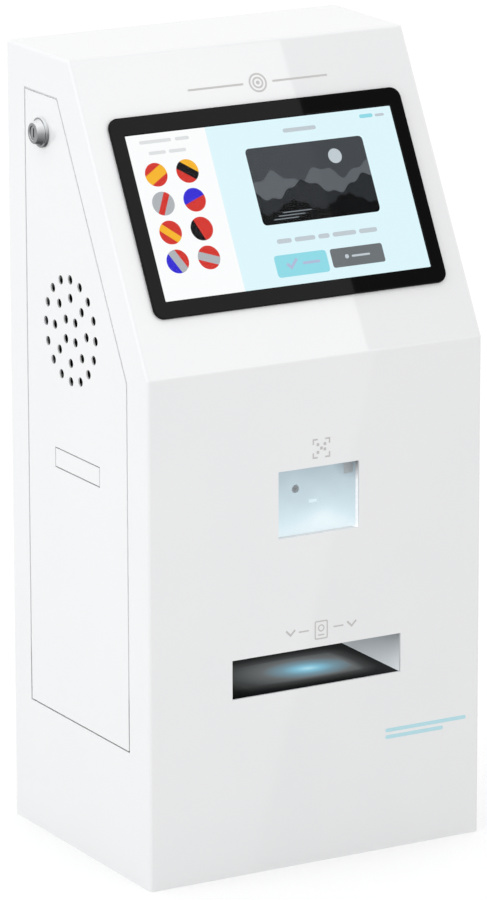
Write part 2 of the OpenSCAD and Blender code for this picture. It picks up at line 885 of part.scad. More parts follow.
// Folded shelf under the reader, bolted behind the front sheet
module reader_shelf() {
    w = pocket_w + 2 * pocket_flange;
    in_front = front_y + sheet;
    color("silver") difference() {
        union() {
            translate([-w / 2, in_front, reader_z - shelf_t]) cube([w, pocket_back - in_front, shelf_t]);
            translate([-w / 2, in_front, reader_z - shelf_t - shelf_flange])
                cube([w, shelf_t, shelf_flange]);
            for (sx = [0, 1]) {
                mirror([sx, 0, 0]) translate([-w / 2, in_front, reader_z - shelf_t - shelf_flange])
                    cube([shelf_t, shelf_flange, shelf_flange]);
            }
        }
        on_front() for (sx = [-1, 1]) {
            translate([sx * (pocket_w + pocket_flange) / 2, shelf_nut_z, -sheet - shelf_t - over])
                cylinder(r = m4_hole_r, h = shelf_t + 2 * over);
        }
    }
}

// Inside units

// Small computer on its side, with port recesses facing the rear and cooling slots towards the door
module computer() {
    t = computer_size[0];
    d = computer_size[1];
    h = computer_size[2];
    corner = 8;
    ports = 4;
    port_w = 8;
    port_h = 14;
    port_d = 6;
    port_pitch = 22;
    port_low = 18;
    slots = 6;
    slot_len = 64;
    slot_d = 2;
    place = [inner_x - computer_bracket_t - t, computer_y - d / 2, computer_z];
    color(dark) translate(place) difference() {
        rotate([0, 90, 0]) translate([-h / 2, d / 2, 0]) rounded_slab(h, d, t, corner);
        for (i = [0 : ports - 1]) {
            translate([t * 0.35, d - port_d, port_low + i * port_pitch])
                cube([port_w, port_d + over, port_h]);
        }
        for (i = [0 : slots - 1]) {
            translate([-over, d / 2, h / 2 + (i - (slots - 1) / 2) * vent_pitch]) rotate([90, 0, 90])
                round_slot(slot_len, vent_w, slot_d + over);
        }
    }
}

// Plate on the right cheek with two lips that hold the computer
module computer_bracket() {
    t = computer_bracket_t;
    plate_d = 60;
    lip = 20;
    h = computer_size[2] + 2 * seat_gap;
    low = computer_z - seat_gap;
    color("silver") difference() {
        union() {
            translate([inner_x - t, computer_y - plate_d / 2, low - t - computer_tab])
                cube([t, plate_d, h + 2 * t + 2 * computer_tab]);
            for (z = [low - t, low + h]) {
                translate([inner_x - t - lip, computer_y - plate_d / 2, z]) cube([lip + t, plate_d, t]);
            }
        }
        for (sz = [-1, 1]) {
            translate([inner_x - t - over, computer_y, computer_mid + sz * computer_nut_z])
                rotate([0, 90, 0]) cylinder(r = m4_hole_r, h = t + 2 * over);
        }
    }
}

// Enclosed supply on the base plate: slotted cover, two feet and an open bay for its terminals
module power_supply() {
    w = supply_size[0];
    d = supply_size[1];
    h = supply_size[2];
    slots = 9;
    slot_len = 48;
    slot_d = 2;
    color("silver") translate([supply_x, supply_y, base_t]) difference() {
        union() {
            cube([w, d, h]);
            for (x = [-supply_foot, w]) {
                translate([x, d / 4, 0]) cube([supply_foot, d / 2, supply_foot_t]);
            }
        }
        for (i = [0 : slots - 1]) {
            translate([(w + terminal_d) / 2 + (i - (slots - 1) / 2) * vent_pitch, d / 2, h - slot_d])
                rotate([0, 0, 90]) round_slot(slot_len, vent_w, slot_d + over);
        }
        for (x = [-supply_foot / 2, w + supply_foot / 2]) {
            translate([x, d / 2, -over]) cylinder(r = m4_hole_r, h = supply_foot_t + 2 * over);
        }
        translate([-over, terminal_edge, terminal_low])
            cube([terminal_d + over, d - 2 * terminal_edge, h]);
    }
}

// Strip of screw terminals in the supply's bay, with a rib between each pair
module supply_terminals() {
    ways = 7;
    base_h = 6;
    rib_t = 1.4;
    rib_h = 14;
    screw_r = 3;
    screw_h = 1.6;
    slit = [5, 0.8, 0.8];
    run = supply_size[1] - 2 * terminal_edge - 2 * seat_gap;
    pitch = (run - rib_t) / ways;
    deep = terminal_d - seat_gap;
    color(dark) translate([supply_x, supply_y + terminal_edge + seat_gap, base_t + terminal_low]) {
        cube([deep, run, base_h]);
        for (i = [0 : ways]) {
            translate([0, i * pitch, 0]) cube([deep, rib_t, rib_h]);
        }
        for (i = [0 : ways - 1]) {
            translate([deep / 2, (i + 0.5) * pitch + rib_t / 2, base_h]) difference() {
                translate([0, 0, -over]) cylinder(r = screw_r, h = screw_h + over);
                translate([0, 0, screw_h - slit[2]]) slab(slit[0], slit[1], slit[2] + over);
            }
        }
    }
}

// Rear connections

// Outline of the mains socket, with two cut corners on the earth contact's side
module inlet_mouth() {
    x = inlet_mouth_w / 2;
    y = inlet_mouth_h / 2;
    cut = inlet_mouth_cut;
    polygon([[-x, -y], [x, -y], [x, y - cut], [x - cut, y], [cut - x, y], [-x, y - cut]]);
}

// Snap-in mains inlet with a switch well above the socket
module power_inlet() {
    corner = 3;
    color(dark) on_rear() translate([-inlet_x, inlet_z, 0]) difference() {
        union() {
            rounded_slab(inlet_w, inlet_h, inlet_flange_t, corner);
            translate([0, 0, -inlet_body_d]) slab(inlet_body_w, inlet_body_h, inlet_body_d + over);
        }
        translate([0, -inlet_mouth_drop, inlet_flange_t - inlet_mouth_d])
            linear_extrude(inlet_mouth_d + over) inlet_mouth();
        translate([0, rocker_rise, inlet_flange_t - rocker_d - rocker_gap])
            slab(rocker_w + 2 * rocker_gap, rocker_h + 4 * rocker_gap, rocker_d + rocker_gap + over);
        translate([-rocker_w, rocker_rise, inlet_flange_t - rocker_pivot_depth]) rotate([0, 90, 0])
            cylinder(r = rocker_pivot_r + turn_clearance, h = 2 * rocker_w);
    }
}

// Three flat contacts in the inlet's mouth, and the tabs for the leads behind it and behind the switch
module inlet_pins() {
    pin = [2, 4];
    pitch = 7;
    offset_up = 2.5;
    pin_sunk = 3;
    len = inlet_mouth_d - pin_sunk;
    tab = [0.8, 4.8];
    tab_len = 8;
    contacts = [for (p = [[-pitch, -offset_up], [pitch, -offset_up], [0, offset_up]])
        p - [0, inlet_mouth_drop]];
    switch_tabs = [for (sx = [-1, 1], sy = [-1, 1])
        [sx * rocker_tab_x, rocker_rise + sy * rocker_tab_rise]];
    color("gold") on_rear() translate([-inlet_x, inlet_z, 0]) {
        for (place = contacts) {
            translate([place[0], place[1], inlet_flange_t - inlet_mouth_d]) slab(pin[0], pin[1], len);
        }
        for (place = concat(contacts, switch_tabs)) {
            translate([place[0], place[1], -inlet_body_d - tab_len]) slab(tab[0], tab[1], tab_len);
        }
    }
}

// Rocker with a hollow face, drawn tipped to one side
module power_rocker() {
    face_r = 40;
    peg = 1.5;
    rocker_crest = 2;
    rocker_root = 3;
    rocker_heel = 4;
    rocker_heel_at = 1;
    color(dark) on_rear()
        translate([-inlet_x, inlet_z + rocker_rise, inlet_flange_t - rocker_pivot_depth])
            rotate([rocker_tilt, 0, 0]) {
                translate([-rocker_w / 2, 0, 0]) rotate([0, 90, 0]) linear_extrude(rocker_w) difference() {
                    translate([-rocker_pivot_depth - rocker_crest, -rocker_h / 2])
                        square([rocker_pivot_depth + rocker_crest + rocker_root, rocker_h]);
                    translate([-rocker_pivot_depth - face_r, 0]) circle(face_r, $fn = 96);
                    for (s = [-1, 1]) {
                        translate([rocker_heel_at, s * rocker_h / 2]) rotate(45)
                            square(rocker_heel, center = true);
                    }
                }
                translate([-rocker_w / 2 - peg, 0, 0]) rotate([0, 90, 0])
                    cylinder(r = rocker_pivot_r, h = rocker_w + 2 * peg);
            }
}

// Network socket with the stepped notch for the plug's latch
module network_socket() {
    latch_steps = [[6.4, 1.6], [4, 3]];
    corner = 2;
    w = socket_w + 2 * socket_flange;
    h = socket_h + 2 * socket_flange;
    color(dark) on_rear() translate([-network_x, inlet_z, 0]) difference() {
        union() {
            rounded_slab(w, h, inlet_flange_t, corner);
            translate([0, 0, -socket_d]) slab(socket_w, socket_h, socket_d + over);
        }
        translate([0, 0, inlet_flange_t - socket_mouth_d])
            slab(socket_mouth_w, socket_mouth_h, socket_mouth_d + over);
        for (step = latch_steps) {
            translate([-step[0] / 2, -socket_mouth_h / 2 - step[1], inlet_flange_t - socket_mouth_d])
                cube([step[0], step[1] + over, socket_mouth_d + over]);
        }
    }
}

// Service door

// Places of the grille holes: three rings
module grille_places() {
    for (ring = [[grille_r1, 4, 45], [grille_r2, 8, 0], [grille_r3, 16, 0]]) {
        for (i = [0 : ring[1] - 1]) {
            rotate(ring[2] + i * 360 / ring[1]) translate([ring[0], 0, 0]) children();
        }
    }
}

module door_panel() {
    color(white) difference() {
        along_x(left_x, door_t) polygon(door_outline(door_inset, door_foot));
        into_left(speaker_y, speaker_z, -over) grille_places()
            cylinder(d = grille_hole_d, h = door_t + 2 * over);
        into_left(lock_y, lock_z, -over) cylinder(d = lock_barrel_d + seat_gap, h = door_t + 2 * over);
        translate([left_x - over, blank_y - blank_w / 2, blank_z - blank_h / 2])
            cube([door_t + 2 * over, blank_w, blank_h]);
    }
}

// Folded rim welded inside the door; the hinge pins turn in its lower corners
module door_stiffener() {
    low = hinge_z - hinge_eye_r - stiffener_t;
    eye_span = 2 * (rear_y - stiffener_m + door_back[0]) + 2 * over;
    color(white) difference() {
        along_x(left_x + door_t, stiffener_depth) difference() {
            polygon(door_outline(stiffener_m, low));
            polygon(door_outline(stiffener_m + stiffener_t, low + stiffener_t));
        }
        translate([hinge_x, -eye_span / 2, hinge_z]) rotate([-90, 0, 0])
            cylinder(r = hinge_pin_r + turn_clearance, h = eye_span);
    }
}

// Plate flush with the door, held by a lip behind it
module blank_plate() {
    w = blank_w - 2 * blank_gap;
    h = blank_h - 2 * blank_gap;
    color(white) into_left(blank_y, blank_z) {
        slab(h, w, door_t + blank_lip_t);
        translate([0, 0, door_t]) slab(blank_h + 2 * blank_lip, blank_w + 2 * blank_lip, blank_lip_t);
    }
}

// Pressed basket with four windows and a flat back
module speaker_basket() {
    back = speaker_depth - magnet_t;
    rim = speaker_d / 2;
    flare = 10;
    bore = 8;
    seat = 2;
    window_r = neck_r + flare + seat;
    window_span = 18;
    window_end = 6;
    window_low = basket_flange_t + window_end;
    color(dark) into_left(speaker_y, speaker_z, door_t) difference() {
        rotate_extrude() polygon([
            [cone_r + seat, 0], [rim, 0], [rim, basket_flange_t], [cone_r + seat, basket_flange_t],
            [neck_r + flare, back], [neck_r - bore, back], [neck_r - bore, back - basket_wall],
            [neck_r + flare - basket_wall / 2, back - basket_wall],
            [cone_r + seat - basket_wall, basket_flange_t + basket_wall / 2],
            [cone_r + seat - basket_wall, 0]]);
        for (a = [0 : 90 : 270]) {
            rotate(a + 45) translate([window_r, -window_span / 2, window_low])
                cube([cone_r, window_span, back - window_low - window_end]);
        }
        for (a = [0 : 90 : 270]) {
            rotate(a) translate([speaker_screw_r, 0, -over])
                cylinder(r = screw_small_r + turn_clearance, h = basket_flange_t + 2 * over);
        }
    }
}

// Paper cone with its half-round surround and dust cap
module speaker_cone() {
    paper = 1.5;
    lap = 0.5;
    former = 1;
    surround = 4;
    cap_r = 9;
    cap_high = 9;
    cap_low = 11;
    root = 14;
    tail = speaker_depth - magnet_t - basket_wall;
    paper_r = cone_r - 2 * surround;
    roll_r = cone_r - surround;
    color("black") into_left(speaker_y, speaker_z, door_t) rotate_extrude() polygon([
        [0, cap_high], [cap_r, cap_low], [paper_r, 2 * paper], [roll_r, paper], [cone_r, paper + lap],
        [cone_r, 2 * paper], [roll_r, 2 * paper], [paper_r, 3 * paper], [cap_r + former, root], [cap_r, tail],
        [cap_r - former, tail], [cap_r - former, cap_low + paper + lap], [0, cap_high + paper]]);
}

module speaker_magnet() {
    cap_t = 3;
    cap_step = 2;
    cap_taper = 4;
    color("dimgray") into_left(speaker_y, speaker_z, door_t + speaker_depth - magnet_t) {
        cylinder(r = magnet_r, h = magnet_t - cap_t);
        translate([0, 0, magnet_t - cap_t])
            cylinder(r1 = magnet_r - cap_step, r2 = magnet_r - cap_taper, h = cap_t);
    }
}

// Screws through the basket's flange into the door
module speaker_screws() {
    head_h = 2;
    color("silver") into_left(speaker_y, speaker_z, door_t) for (a = [0 : 90 : 270]) {
        rotate(a) translate([speaker_screw_r, 0, 0]) {
            cylinder(r = screw_small_r, h = basket_flange_t + head_h);
            translate([0, 0, basket_flange_t]) cylinder(r = 2 * screw_small_r, h = head_h);
        }
    }
}

// Lock

// Fixed housing: stepped head outside, threaded barrel through the door
module lock_housing() {
    rim = 3;
    nose_inset = 4;
    shoulder_inset = 2;
    head_r = lock_head_d / 2;
    color("silver") into_left(lock_y, lock_z) difference() {
        union() {
            translate([0, 0, -rim]) cylinder(r = head_r, h = rim);
            translate([0, 0, -lock_proud])
                cylinder(r1 = head_r - nose_inset, r2 = head_r - shoulder_inset, h = lock_proud - rim);
            cylinder(d = lock_barrel_d, h = door_t + lock_barrel_len - seat_gap);
        }
        translate([0, 0, -lock_proud - over])
            cylinder(r = lock_plug_d / 2 + turn_clearance, h = lock_len + 2 * over);
    }
}

module lock_nut() {
    nut_t = 4;
    nut_r = 14;
    color("silver") into_left(lock_y, lock_z, door_t) difference() {
        cylinder(r = nut_r, h = nut_t, $fn = 6);
        translate([0, 0, -over]) cylinder(r = lock_barrel_d / 2 + turn_clearance, h = nut_t + 2 * over);
    }
}

// Turning plug with a keyway
module lock_plug() {
    keyway = [8, 1.8, 14];
    color("silver") into_left(lock_y, lock_z, plug_sunk - lock_proud) difference() {
        cylinder(d = lock_plug_d, h = lock_len - plug_sunk);
        translate([0, 0, -over]) slab(keyway[0], keyway[1], keyway[2] + over);
    }
}

// Flat cam, hanging down while the lock is open
module lock_cam() {
    wide = 16;
    tip = 12;
    color("silver") into_left(lock_y, lock_z, door_t + lock_barrel_len) difference() {
        union() {
            cylinder(d = wide, h = cam_t);
            translate([0, -tip / 2, 0]) cube([cam_len - tip / 2, tip, cam_t]);
            translate([cam_len - tip / 2, 0, 0]) cylinder(d = tip, h = cam_t);
        }
        translate([0, 0, -over]) cylinder(r = m4_hole_r, h = cam_t + 2 * over);
    }
}

module cam_screw() {
    color("silver") into_left(lock_y, lock_z, door_t + lock_barrel_len) {
        cylinder(r = m4_r, h = cam_t);
        translate([0, 0, cam_t]) cylinder(r = m4_head_r, h = m4_nut_h, $fn = 6);
    }
}

front_wrap();
left_cheek();
right_cheek();
base_plate();
rear_panel();
rear_panel_screws();
door_stop();
hinge_brackets();
hinge_pins();
lock_strike();
panel_nuts();
display_bezel();
touch_glass();
lcd_panel();
display_rear_cover();
scanner_tunnel();
scanner_glass();
scanner_plate();
scanner();
scanner_lens();
scanner_lamp();
scanner_sensor();
scanner_bracket();
pocket_liner();
pocket_glass();
reader_housing();
reader_light();
reader_camera();
reader_shelf();
computer();
computer_bracket();
power_supply();
supply_terminals();
power_inlet();
inlet_pins();
network_socket();
door_panel();
door_stiffener();
blank_plate();
speaker_basket();
speaker_cone();
speaker_magnet();
speaker_screws();
lock_housing();
lock_nut();
lock_plug();
lock_cam();
cam_screw();
power_rocker();
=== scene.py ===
# %% [markdown]
# A self-service check-in kiosk, dressed in Blender.
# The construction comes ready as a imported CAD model: a folded steel cabinet, a side door with a lock, a
# leaning touch screen, a code reader window and a passport pocket. Nothing in this file moves or resizes
# those pieces. The lesson adds what CAD leaves out: paint, glass, light and the picture on the screen.

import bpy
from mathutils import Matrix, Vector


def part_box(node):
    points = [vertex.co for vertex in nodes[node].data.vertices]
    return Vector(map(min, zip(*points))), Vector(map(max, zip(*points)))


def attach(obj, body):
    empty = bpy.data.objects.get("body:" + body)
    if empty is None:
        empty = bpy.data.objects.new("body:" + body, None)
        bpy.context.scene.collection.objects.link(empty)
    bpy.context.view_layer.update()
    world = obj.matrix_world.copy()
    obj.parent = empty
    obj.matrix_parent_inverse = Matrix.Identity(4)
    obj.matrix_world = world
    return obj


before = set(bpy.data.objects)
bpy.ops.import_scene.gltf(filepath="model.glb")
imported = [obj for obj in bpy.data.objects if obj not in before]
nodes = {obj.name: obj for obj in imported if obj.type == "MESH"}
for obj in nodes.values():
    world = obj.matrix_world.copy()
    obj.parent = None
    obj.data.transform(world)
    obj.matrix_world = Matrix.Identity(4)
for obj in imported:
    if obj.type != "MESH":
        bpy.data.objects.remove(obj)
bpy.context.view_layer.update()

# %% [markdown]
# The rest of the script needs Blender's own modules, and one unit. Blender works in metres, but a kiosk is
# drawn in millimetres, so its small sizes are written in millimetres and multiplied where they meet Blender.
# The room round the kiosk stays in metres.

# %% Modules and units
import math
from collections import namedtuple

import bpy
from mathutils import Matrix, Vector

MM = 0.001
scene = bpy.context.scene
scene.view_settings.view_transform = "Standard"
print("scene uses the", scene.view_settings.view_transform, "view transform")

# %% [markdown]
# The camera stands where the photograph was taken: to the left of the kiosk, a little above it, with a long
# lens. A look-at constraint would also aim it, but a matrix of place, aim and roll keeps the small roll as
# well. The lens is worked out from its focal length in pixels, because the picture's long side spans the
# sensor.

# %% Camera
PICTURE_HEIGHT_PX = 900
FOCAL_PX = 5797
SENSOR_MM = 36.0
FAR_LIMIT = 100.0
VIEW_AZIMUTH = math.radians(-29.63)
VIEW_ELEVATION = math.radians(14.84)
VIEW_ROLL = math.radians(-0.14)
VIEW_DISTANCE = 4.995
VIEW_TARGET = Vector((0.0025, 0.008, 0.3347))


def looking(place, direction):
    """Matrix of a camera or a lamp at a place, which looks in a direction with its top side up."""
    return Matrix.Translation(place) @ direction.to_track_quat("-Z", "Y").to_matrix().to_4x4()


def add_camera():
    flat = math.cos(VIEW_ELEVATION)
    back = Vector((math.sin(VIEW_AZIMUTH) * flat, -math.cos(VIEW_AZIMUTH) * flat, math.sin(VIEW_ELEVATION)))
    lens = bpy.data.cameras.new("view")
    lens.sensor_width = SENSOR_MM
    lens.lens = SENSOR_MM * FOCAL_PX / PICTURE_HEIGHT_PX
    lens.clip_end = FAR_LIMIT
    camera = bpy.data.objects.new("view", lens)
    roll = Matrix.Rotation(VIEW_ROLL, 4, "Z")
    camera.matrix_world = looking(VIEW_TARGET + back * VIEW_DISTANCE, -back) @ roll
    scene.collection.objects.link(camera)
    return camera


scene.camera = add_camera()
print("camera with a", round(scene.camera.data.lens, 1), "mm lens")

# %% [markdown]
# Materials are node trees. Every finish below starts the same way, with one Principled shader whose sockets
# either hold a constant or are fed by other nodes. These small helpers keep each finish short enough to read
# as a recipe. The ones that say owner take a material or a world, since both own a node tree.

# %% Material helpers
def shader_of(finish):
    return finish.node_tree.nodes["Principled BSDF"]


def set_sockets(finish, **sockets):
    """Sets sockets of the shader to constants. An underscore stands for the space in a socket's name."""
    for socket, value in sockets.items():
        shader_of(finish).inputs[socket.replace("_", " ")].default_value = value


def new_finish(name, **sockets):
    finish = bpy.data.materials.new(name)
    finish.use_nodes = True
    set_sockets(finish, **sockets)
    return finish


def add_node(owner, kind, sockets=(), **settings):
    """One node of a tree: settings are its properties, sockets its constant inputs by name."""
    node = owner.node_tree.nodes.new(kind)
    for name, value in settings.items():
        setattr(node, name, value)
    for name, value in dict(sockets).items():
        node.inputs[name].default_value = value
    return node


def wire(owner, start, end):
    owner.node_tree.links.new(start, end)


def feed(finish, value, socket):
    """Wires a value into a named socket of the shader."""
    wire(finish, value, shader_of(finish).inputs[socket])


def range_of(owner, value, low, high):
    """Stretches values from 0 to 1 onto another range."""
    spread = add_node(owner, "ShaderNodeMapRange", {"To Min": low, "To Max": high})
    wire(owner, value, spread.inputs["Value"])
    return spread.outputs["Result"]


def combine(owner, operation, *values):
    """One value from several, joined in their order by ADD, MULTIPLY or MAXIMUM."""
    total = values[0]
    for value in values[1:]:
        pair = add_node(owner, "ShaderNodeMath", operation=operation)
        wire(owner, total, pair.inputs[0])
        wire(owner, value, pair.inputs[1])
        total = pair.outputs["Value"]
    return total


print("material helpers ready")

# %% [markdown]
# A pale floor and a white room. The floor is a large plane that takes the kiosk's shadow. Its own glow is
# shown only to the camera, to mirror-like surfaces and through glass, by way of the Light Path node, so it
# brightens the picture without putting more light on the kiosk. The world does the same: it is plain white
# to look at, and has a strength of its own for the light that it casts.

# %% Floor and room
FLOOR_HALF = 8.0
FLOOR_COLOUR = (0.7, 0.7, 0.7, 1)
FLOOR_ROUGHNESS = 0.9
FLOOR_GLOW = 0.32
ROOM_LIGHT = 1.025
WHITE = (1, 1, 1, 1)


def seen_directly(owner):
    """1 for rays that come from the camera, a mirror or a glass, and 0 for rays that only carry light."""
    path = add_node(owner, "ShaderNodeLightPath")
    kinds = ("Is Camera Ray", "Is Glossy Ray", "Is Transmission Ray")
    return combine(owner, "MAXIMUM", *(path.outputs[kind] for kind in kinds))


def stage_sheet(name, points, finish):
    """One flat face that belongs to the stage and not to the kiosk."""
    mesh = bpy.data.meshes.new(name)
    mesh.from_pydata(points, [], [(0, 1, 2, 3)])
    mesh.materials.append(finish)
    sheet = bpy.data.objects.new(name, mesh)
    scene.collection.objects.link(sheet)
    return sheet


def add_floor():
    finish = new_finish("pale_floor", Base_Color=FLOOR_COLOUR, Roughness=FLOOR_ROUGHNESS,
                        Specular_IOR_Level=0.0, Emission_Color=WHITE)
    feed(finish, range_of(finish, seen_directly(finish), 0.0, FLOOR_GLOW), "Emission Strength")
    sides = ((-1, -1), (1, -1), (1, 1), (-1, 1))
    stage_sheet("floor", [(x * FLOOR_HALF, y * FLOOR_HALF, 0) for x, y in sides], finish)


def add_room():
    room = bpy.data.worlds.new("white_room")
    room.use_nodes = True
    sky = room.node_tree.nodes["Background"]
    sky.inputs["Color"].default_value = WHITE
    wire(room, range_of(room, seen_directly(room), ROOM_LIGHT, 1.0), sky.inputs["Strength"])
    scene.world = room


add_floor()
add_room()
print("floor and room made")

# %% [markdown]
# One large soft lamp stands on the kiosk's left, so that the door side and the top are brighter than the
# front, as in the photograph. A sun would give hard edges; an area lamp the size of a window gives the gentle
# change from face to face that tells a viewer the steel is folded. It is faintly blue, like daylight beside a
# white wall.

# %% Window light
LAMP_DIRECTION = Vector((-0.93, -0.1, 0.35)).normalized()
LAMP_DISTANCE = 4.0
LAMP_SIZE = 3.0
LAMP_POWER = 24.5
LAMP_COLOUR = (0.9, 0.96, 1.0)


def add_window_light():
    light = bpy.data.lights.new("window_light", "AREA")
    light.shape = "SQUARE"
    light.size = LAMP_SIZE
    light.energy = LAMP_POWER
    light.color = LAMP_COLOUR
    lamp = bpy.data.objects.new("window_light", light)
    lamp.matrix_world = looking(VIEW_TARGET + LAMP_DIRECTION * LAMP_DISTANCE, -LAMP_DIRECTION)
    scene.collection.objects.link(lamp)


add_window_light()
print("one window light of", LAMP_SIZE, "m")

# %% [markdown]
# Paint, plastic and metal are never one flat tone. Image textures could give their grain, but noise needs no
# file and no unwrapping. It is laid out in object coordinates, which are metres, so a grain of half a
# millimetre is half a millimetre on every piece. These helpers turn noise, or a place on the piece, into
# values from 0 to 1, and such values into colours or relief.

# %% Pattern helpers
def coordinates(finish, kind="Object"):
    return add_node(finish, "ShaderNodeTexCoord").outputs[kind]


def noise(finish, size_mm, detail=2.0, stretch=(1, 1, 1)):
    """Cloudy values from 0 to 1, with blobs of about the given size, longer where stretch is below 1."""
    place = add_node(finish, "ShaderNodeMapping", {"Scale": stretch})
    wire(finish, coordinates(finish), place.inputs["Vector"])
    cloud = add_node(finish, "ShaderNodeTexNoise", {"Scale": 1 / (size_mm * MM), "Detail": detail})
    wire(finish, place.outputs["Vector"], cloud.inputs["Vector"])
    return cloud.outputs["Fac"]


def along(finish, axis, low, high, kind="Object"):
    """0 to 1 between two values of one axis: of the place, or of the surface's direction for kind Normal."""
    apart = add_node(finish, "ShaderNodeSeparateXYZ")
    wire(finish, coordinates(finish, kind), apart.inputs["Vector"])
    rise = add_node(finish, "ShaderNodeMapRange", {"From Min": low, "From Max": high})
    wire(finish, apart.outputs[axis], rise.inputs["Value"])
    return rise.outputs["Result"]


def blend_by(finish, value, low, high, between=()):
    """Turns values from 0 to 1 into a smooth run of colours, with more of them at places between."""
    ramp = add_node(finish, "ShaderNodeValToRGB")
    stops = ramp.color_ramp.elements
    stops[0].color = (*low, 1)
    stops[1].color = (*high, 1)
    for place, colour in between:
        stops.new(place).color = (*colour, 1)
    wire(finish, value, ramp.inputs["Fac"])
    return ramp.outputs["Color"]


def shade(colour, share):
    """A colour at a share of its brightness, at most 1."""
    return [min(1, c * share) for c in colour]


def bump(finish, value, height_mm, strength):
    relief = add_node(finish, "ShaderNodeBump", {"Distance": height_mm * MM, "Strength": strength})
    wire(finish, value, relief.inputs["Height"])
    feed(finish, relief.outputs["Normal"], "Normal")


print("pattern helpers ready")

# %% [markdown]
# Powder coat is paint that is dusted on and baked. Close up it has a fine orange-peel skin, and over a whole
# panel its tone drifts a little. Two noises make both: one of many centimetres for the tone, one under a
# millimetre for the skin. The skin goes into the bump, so that it catches the light and stays out of the
# colour. The last coat is clear and glossy. The shader's coat layer lies over the skin as that does, with its
# own roughness. The blanking plate in the door has a lip behind the sheet. The lip gets painted shade, dark
# as the inside of the seam, so the seam round the plate shows as a line.

# %% Powder coat
CLEAR_COAT = 1.0
CLEAR_ROUGHNESS = 0.018
SKIN_MM = 0.8
SKIN_ROUGHNESS = (0.38, 0.5)
TONE_MM = 90
TONE_DARK = (0.855, 0.86, 0.866)
TONE_LIGHT = (0.885, 0.888, 0.89)
BLANK_WHITE = (0.87, 0.874, 0.878)
LIP_SEAM_SHADE = (0.16, 0.16, 0.165)
LIP_START_MM = 1.2
LIP_FULL_MM = 1.4


def baked_skin(name):
    """The coat without its colour."""
    finish = new_finish(name, Coat_Weight=CLEAR_COAT, Coat_Roughness=CLEAR_ROUGHNESS)
    skin = noise(finish, SKIN_MM, detail=1.0)
    feed(finish, range_of(finish, skin, *SKIN_ROUGHNESS), "Roughness")
    bump(finish, skin, height_mm=0.05, strength=0.12)
    return finish


def powder_coat():
    finish = baked_skin("white_powder_coat")
    tone = noise(finish, TONE_MM, detail=1.0)
    feed(finish, blend_by(finish, tone, TONE_DARK, TONE_LIGHT), "Base Color")
    return finish


def blank_coat():
    finish = baked_skin("blanking_plate_coat")
    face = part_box("blank_plate")[0].x
    # Painted shade: from just behind its face the plate turns dark, like the inside of the seam.
    behind = along(finish, "X", face + LIP_START_MM * MM, face + LIP_FULL_MM * MM)
    feed(finish, blend_by(finish, behind, BLANK_WHITE, LIP_SEAM_SHADE), "Base Color")
    return finish


POWDER_COAT = powder_coat()
BLANK_COAT = blank_coat()
print("made", POWDER_COAT.name, "and", BLANK_COAT.name)

# %% [markdown]
# Plastics share one recipe: a base colour that varies slightly, a moulded grain in the bump, and a roughness
# that follows the grain. Functions with the colour and the grain as arguments give the black housings, the
# lens, the sensor, the paper cone and the bezel, each with its own gloss. The bezel is deep black under a
# thin clear coat, which mirrors a little of the room.

# %% Plastics
TINT_MM = 25
GRAIN_SWING = 0.06
BEZEL_COAT = 0.2


def moulded(name, roughness, grain_mm=0.4, gloss=0.5):
    """A plastic without its colour."""
    finish = new_finish(name, Specular_IOR_Level=gloss)
    grain = noise(finish, grain_mm, detail=3.0)
    feed(finish, range_of(finish, grain, roughness - GRAIN_SWING, roughness + GRAIN_SWING), "Roughness")
    bump(finish, grain, height_mm=0.04, strength=0.2)
    return finish


def plastic(name, colour, roughness, spread=0.12, **grain):
    finish = moulded(name, roughness, **grain)
    tone = blend_by(finish, noise(finish, TINT_MM), shade(colour, 1 - spread), shade(colour, 1 + spread))
    feed(finish, tone, "Base Color")
    return finish


BEZEL_BLACK = plastic("bezel_satin_black", (0.003, 0.0031, 0.003), roughness=0.42, grain_mm=0.3, gloss=0.03)
set_sockets(BEZEL_BLACK, Coat_Weight=BEZEL_COAT, Coat_Roughness=CLEAR_ROUGHNESS)
BLACK_PLASTIC = plastic("housing_black", (0.025, 0.025, 0.027), roughness=0.55, grain_mm=0.6)
CONE_PAPER = plastic("cone_black_paper", (0.012, 0.012, 0.012), roughness=0.85, grain_mm=1.2, gloss=0.2)
LENS_BLACK = plastic("lens_black", (0.006, 0.006, 0.008), roughness=0.12, grain_mm=0.2, gloss=0.8)
# The sensor is a smoky window on the scanner. Its grey also stands in for shade: it is set to blend into the
# painted shade in the code window's upper right corner.
SENSOR_SMOKE_AND_SHADE = plastic("sensor_smoke_and_shade", (0.55, 0.565, 0.575), roughness=0.3, grain_mm=3.0, spread=0.25)
print("made four plastics and a paper")

# %% [markdown]
# Metals have no base colour of their own beyond their reflection, so metallic is 1 and the interest is in the
# roughness. Zinc plate is cloudy, chrome is nearly a mirror with faint turning lines, and iron is dull. Noise
# that is stretched along one axis reads as brushing or turning marks. Chrome shows a whole room, which a
# plain stage doesn't have, so a dark floor and a bright ceiling are painted in by the surface's direction.

# %% Metals
CLOUD_MM = 12
MARK_SWING = 0.3
CHROME_FLOOR = (0.045, 0.048, 0.05)
CHROME_LEVEL = (0.27, 0.275, 0.28)
CHROME_CEILING = (0.9, 0.91, 0.92)
CHROME_TURN = 0.7


def worked(name, roughness, marks_mm=0.5, stretch=(1, 1, 1)):
    """A metal without its colour."""
    finish = new_finish(name, Metallic=1.0)
    marks = noise(finish, marks_mm, detail=3.0, stretch=stretch)
    swing = (roughness * (1 - MARK_SWING), roughness * (1 + MARK_SWING))
    feed(finish, range_of(finish, marks, *swing), "Roughness")
    bump(finish, marks, height_mm=0.02, strength=0.1)
    return finish


def metal(name, colour, roughness, spread=0.05, **marks):
    finish = worked(name, roughness, **marks)
    cloud = noise(finish, CLOUD_MM, detail=3.0)
    feed(finish, blend_by(finish, cloud, shade(colour, 1 - spread), colour), "Base Color")
    return finish


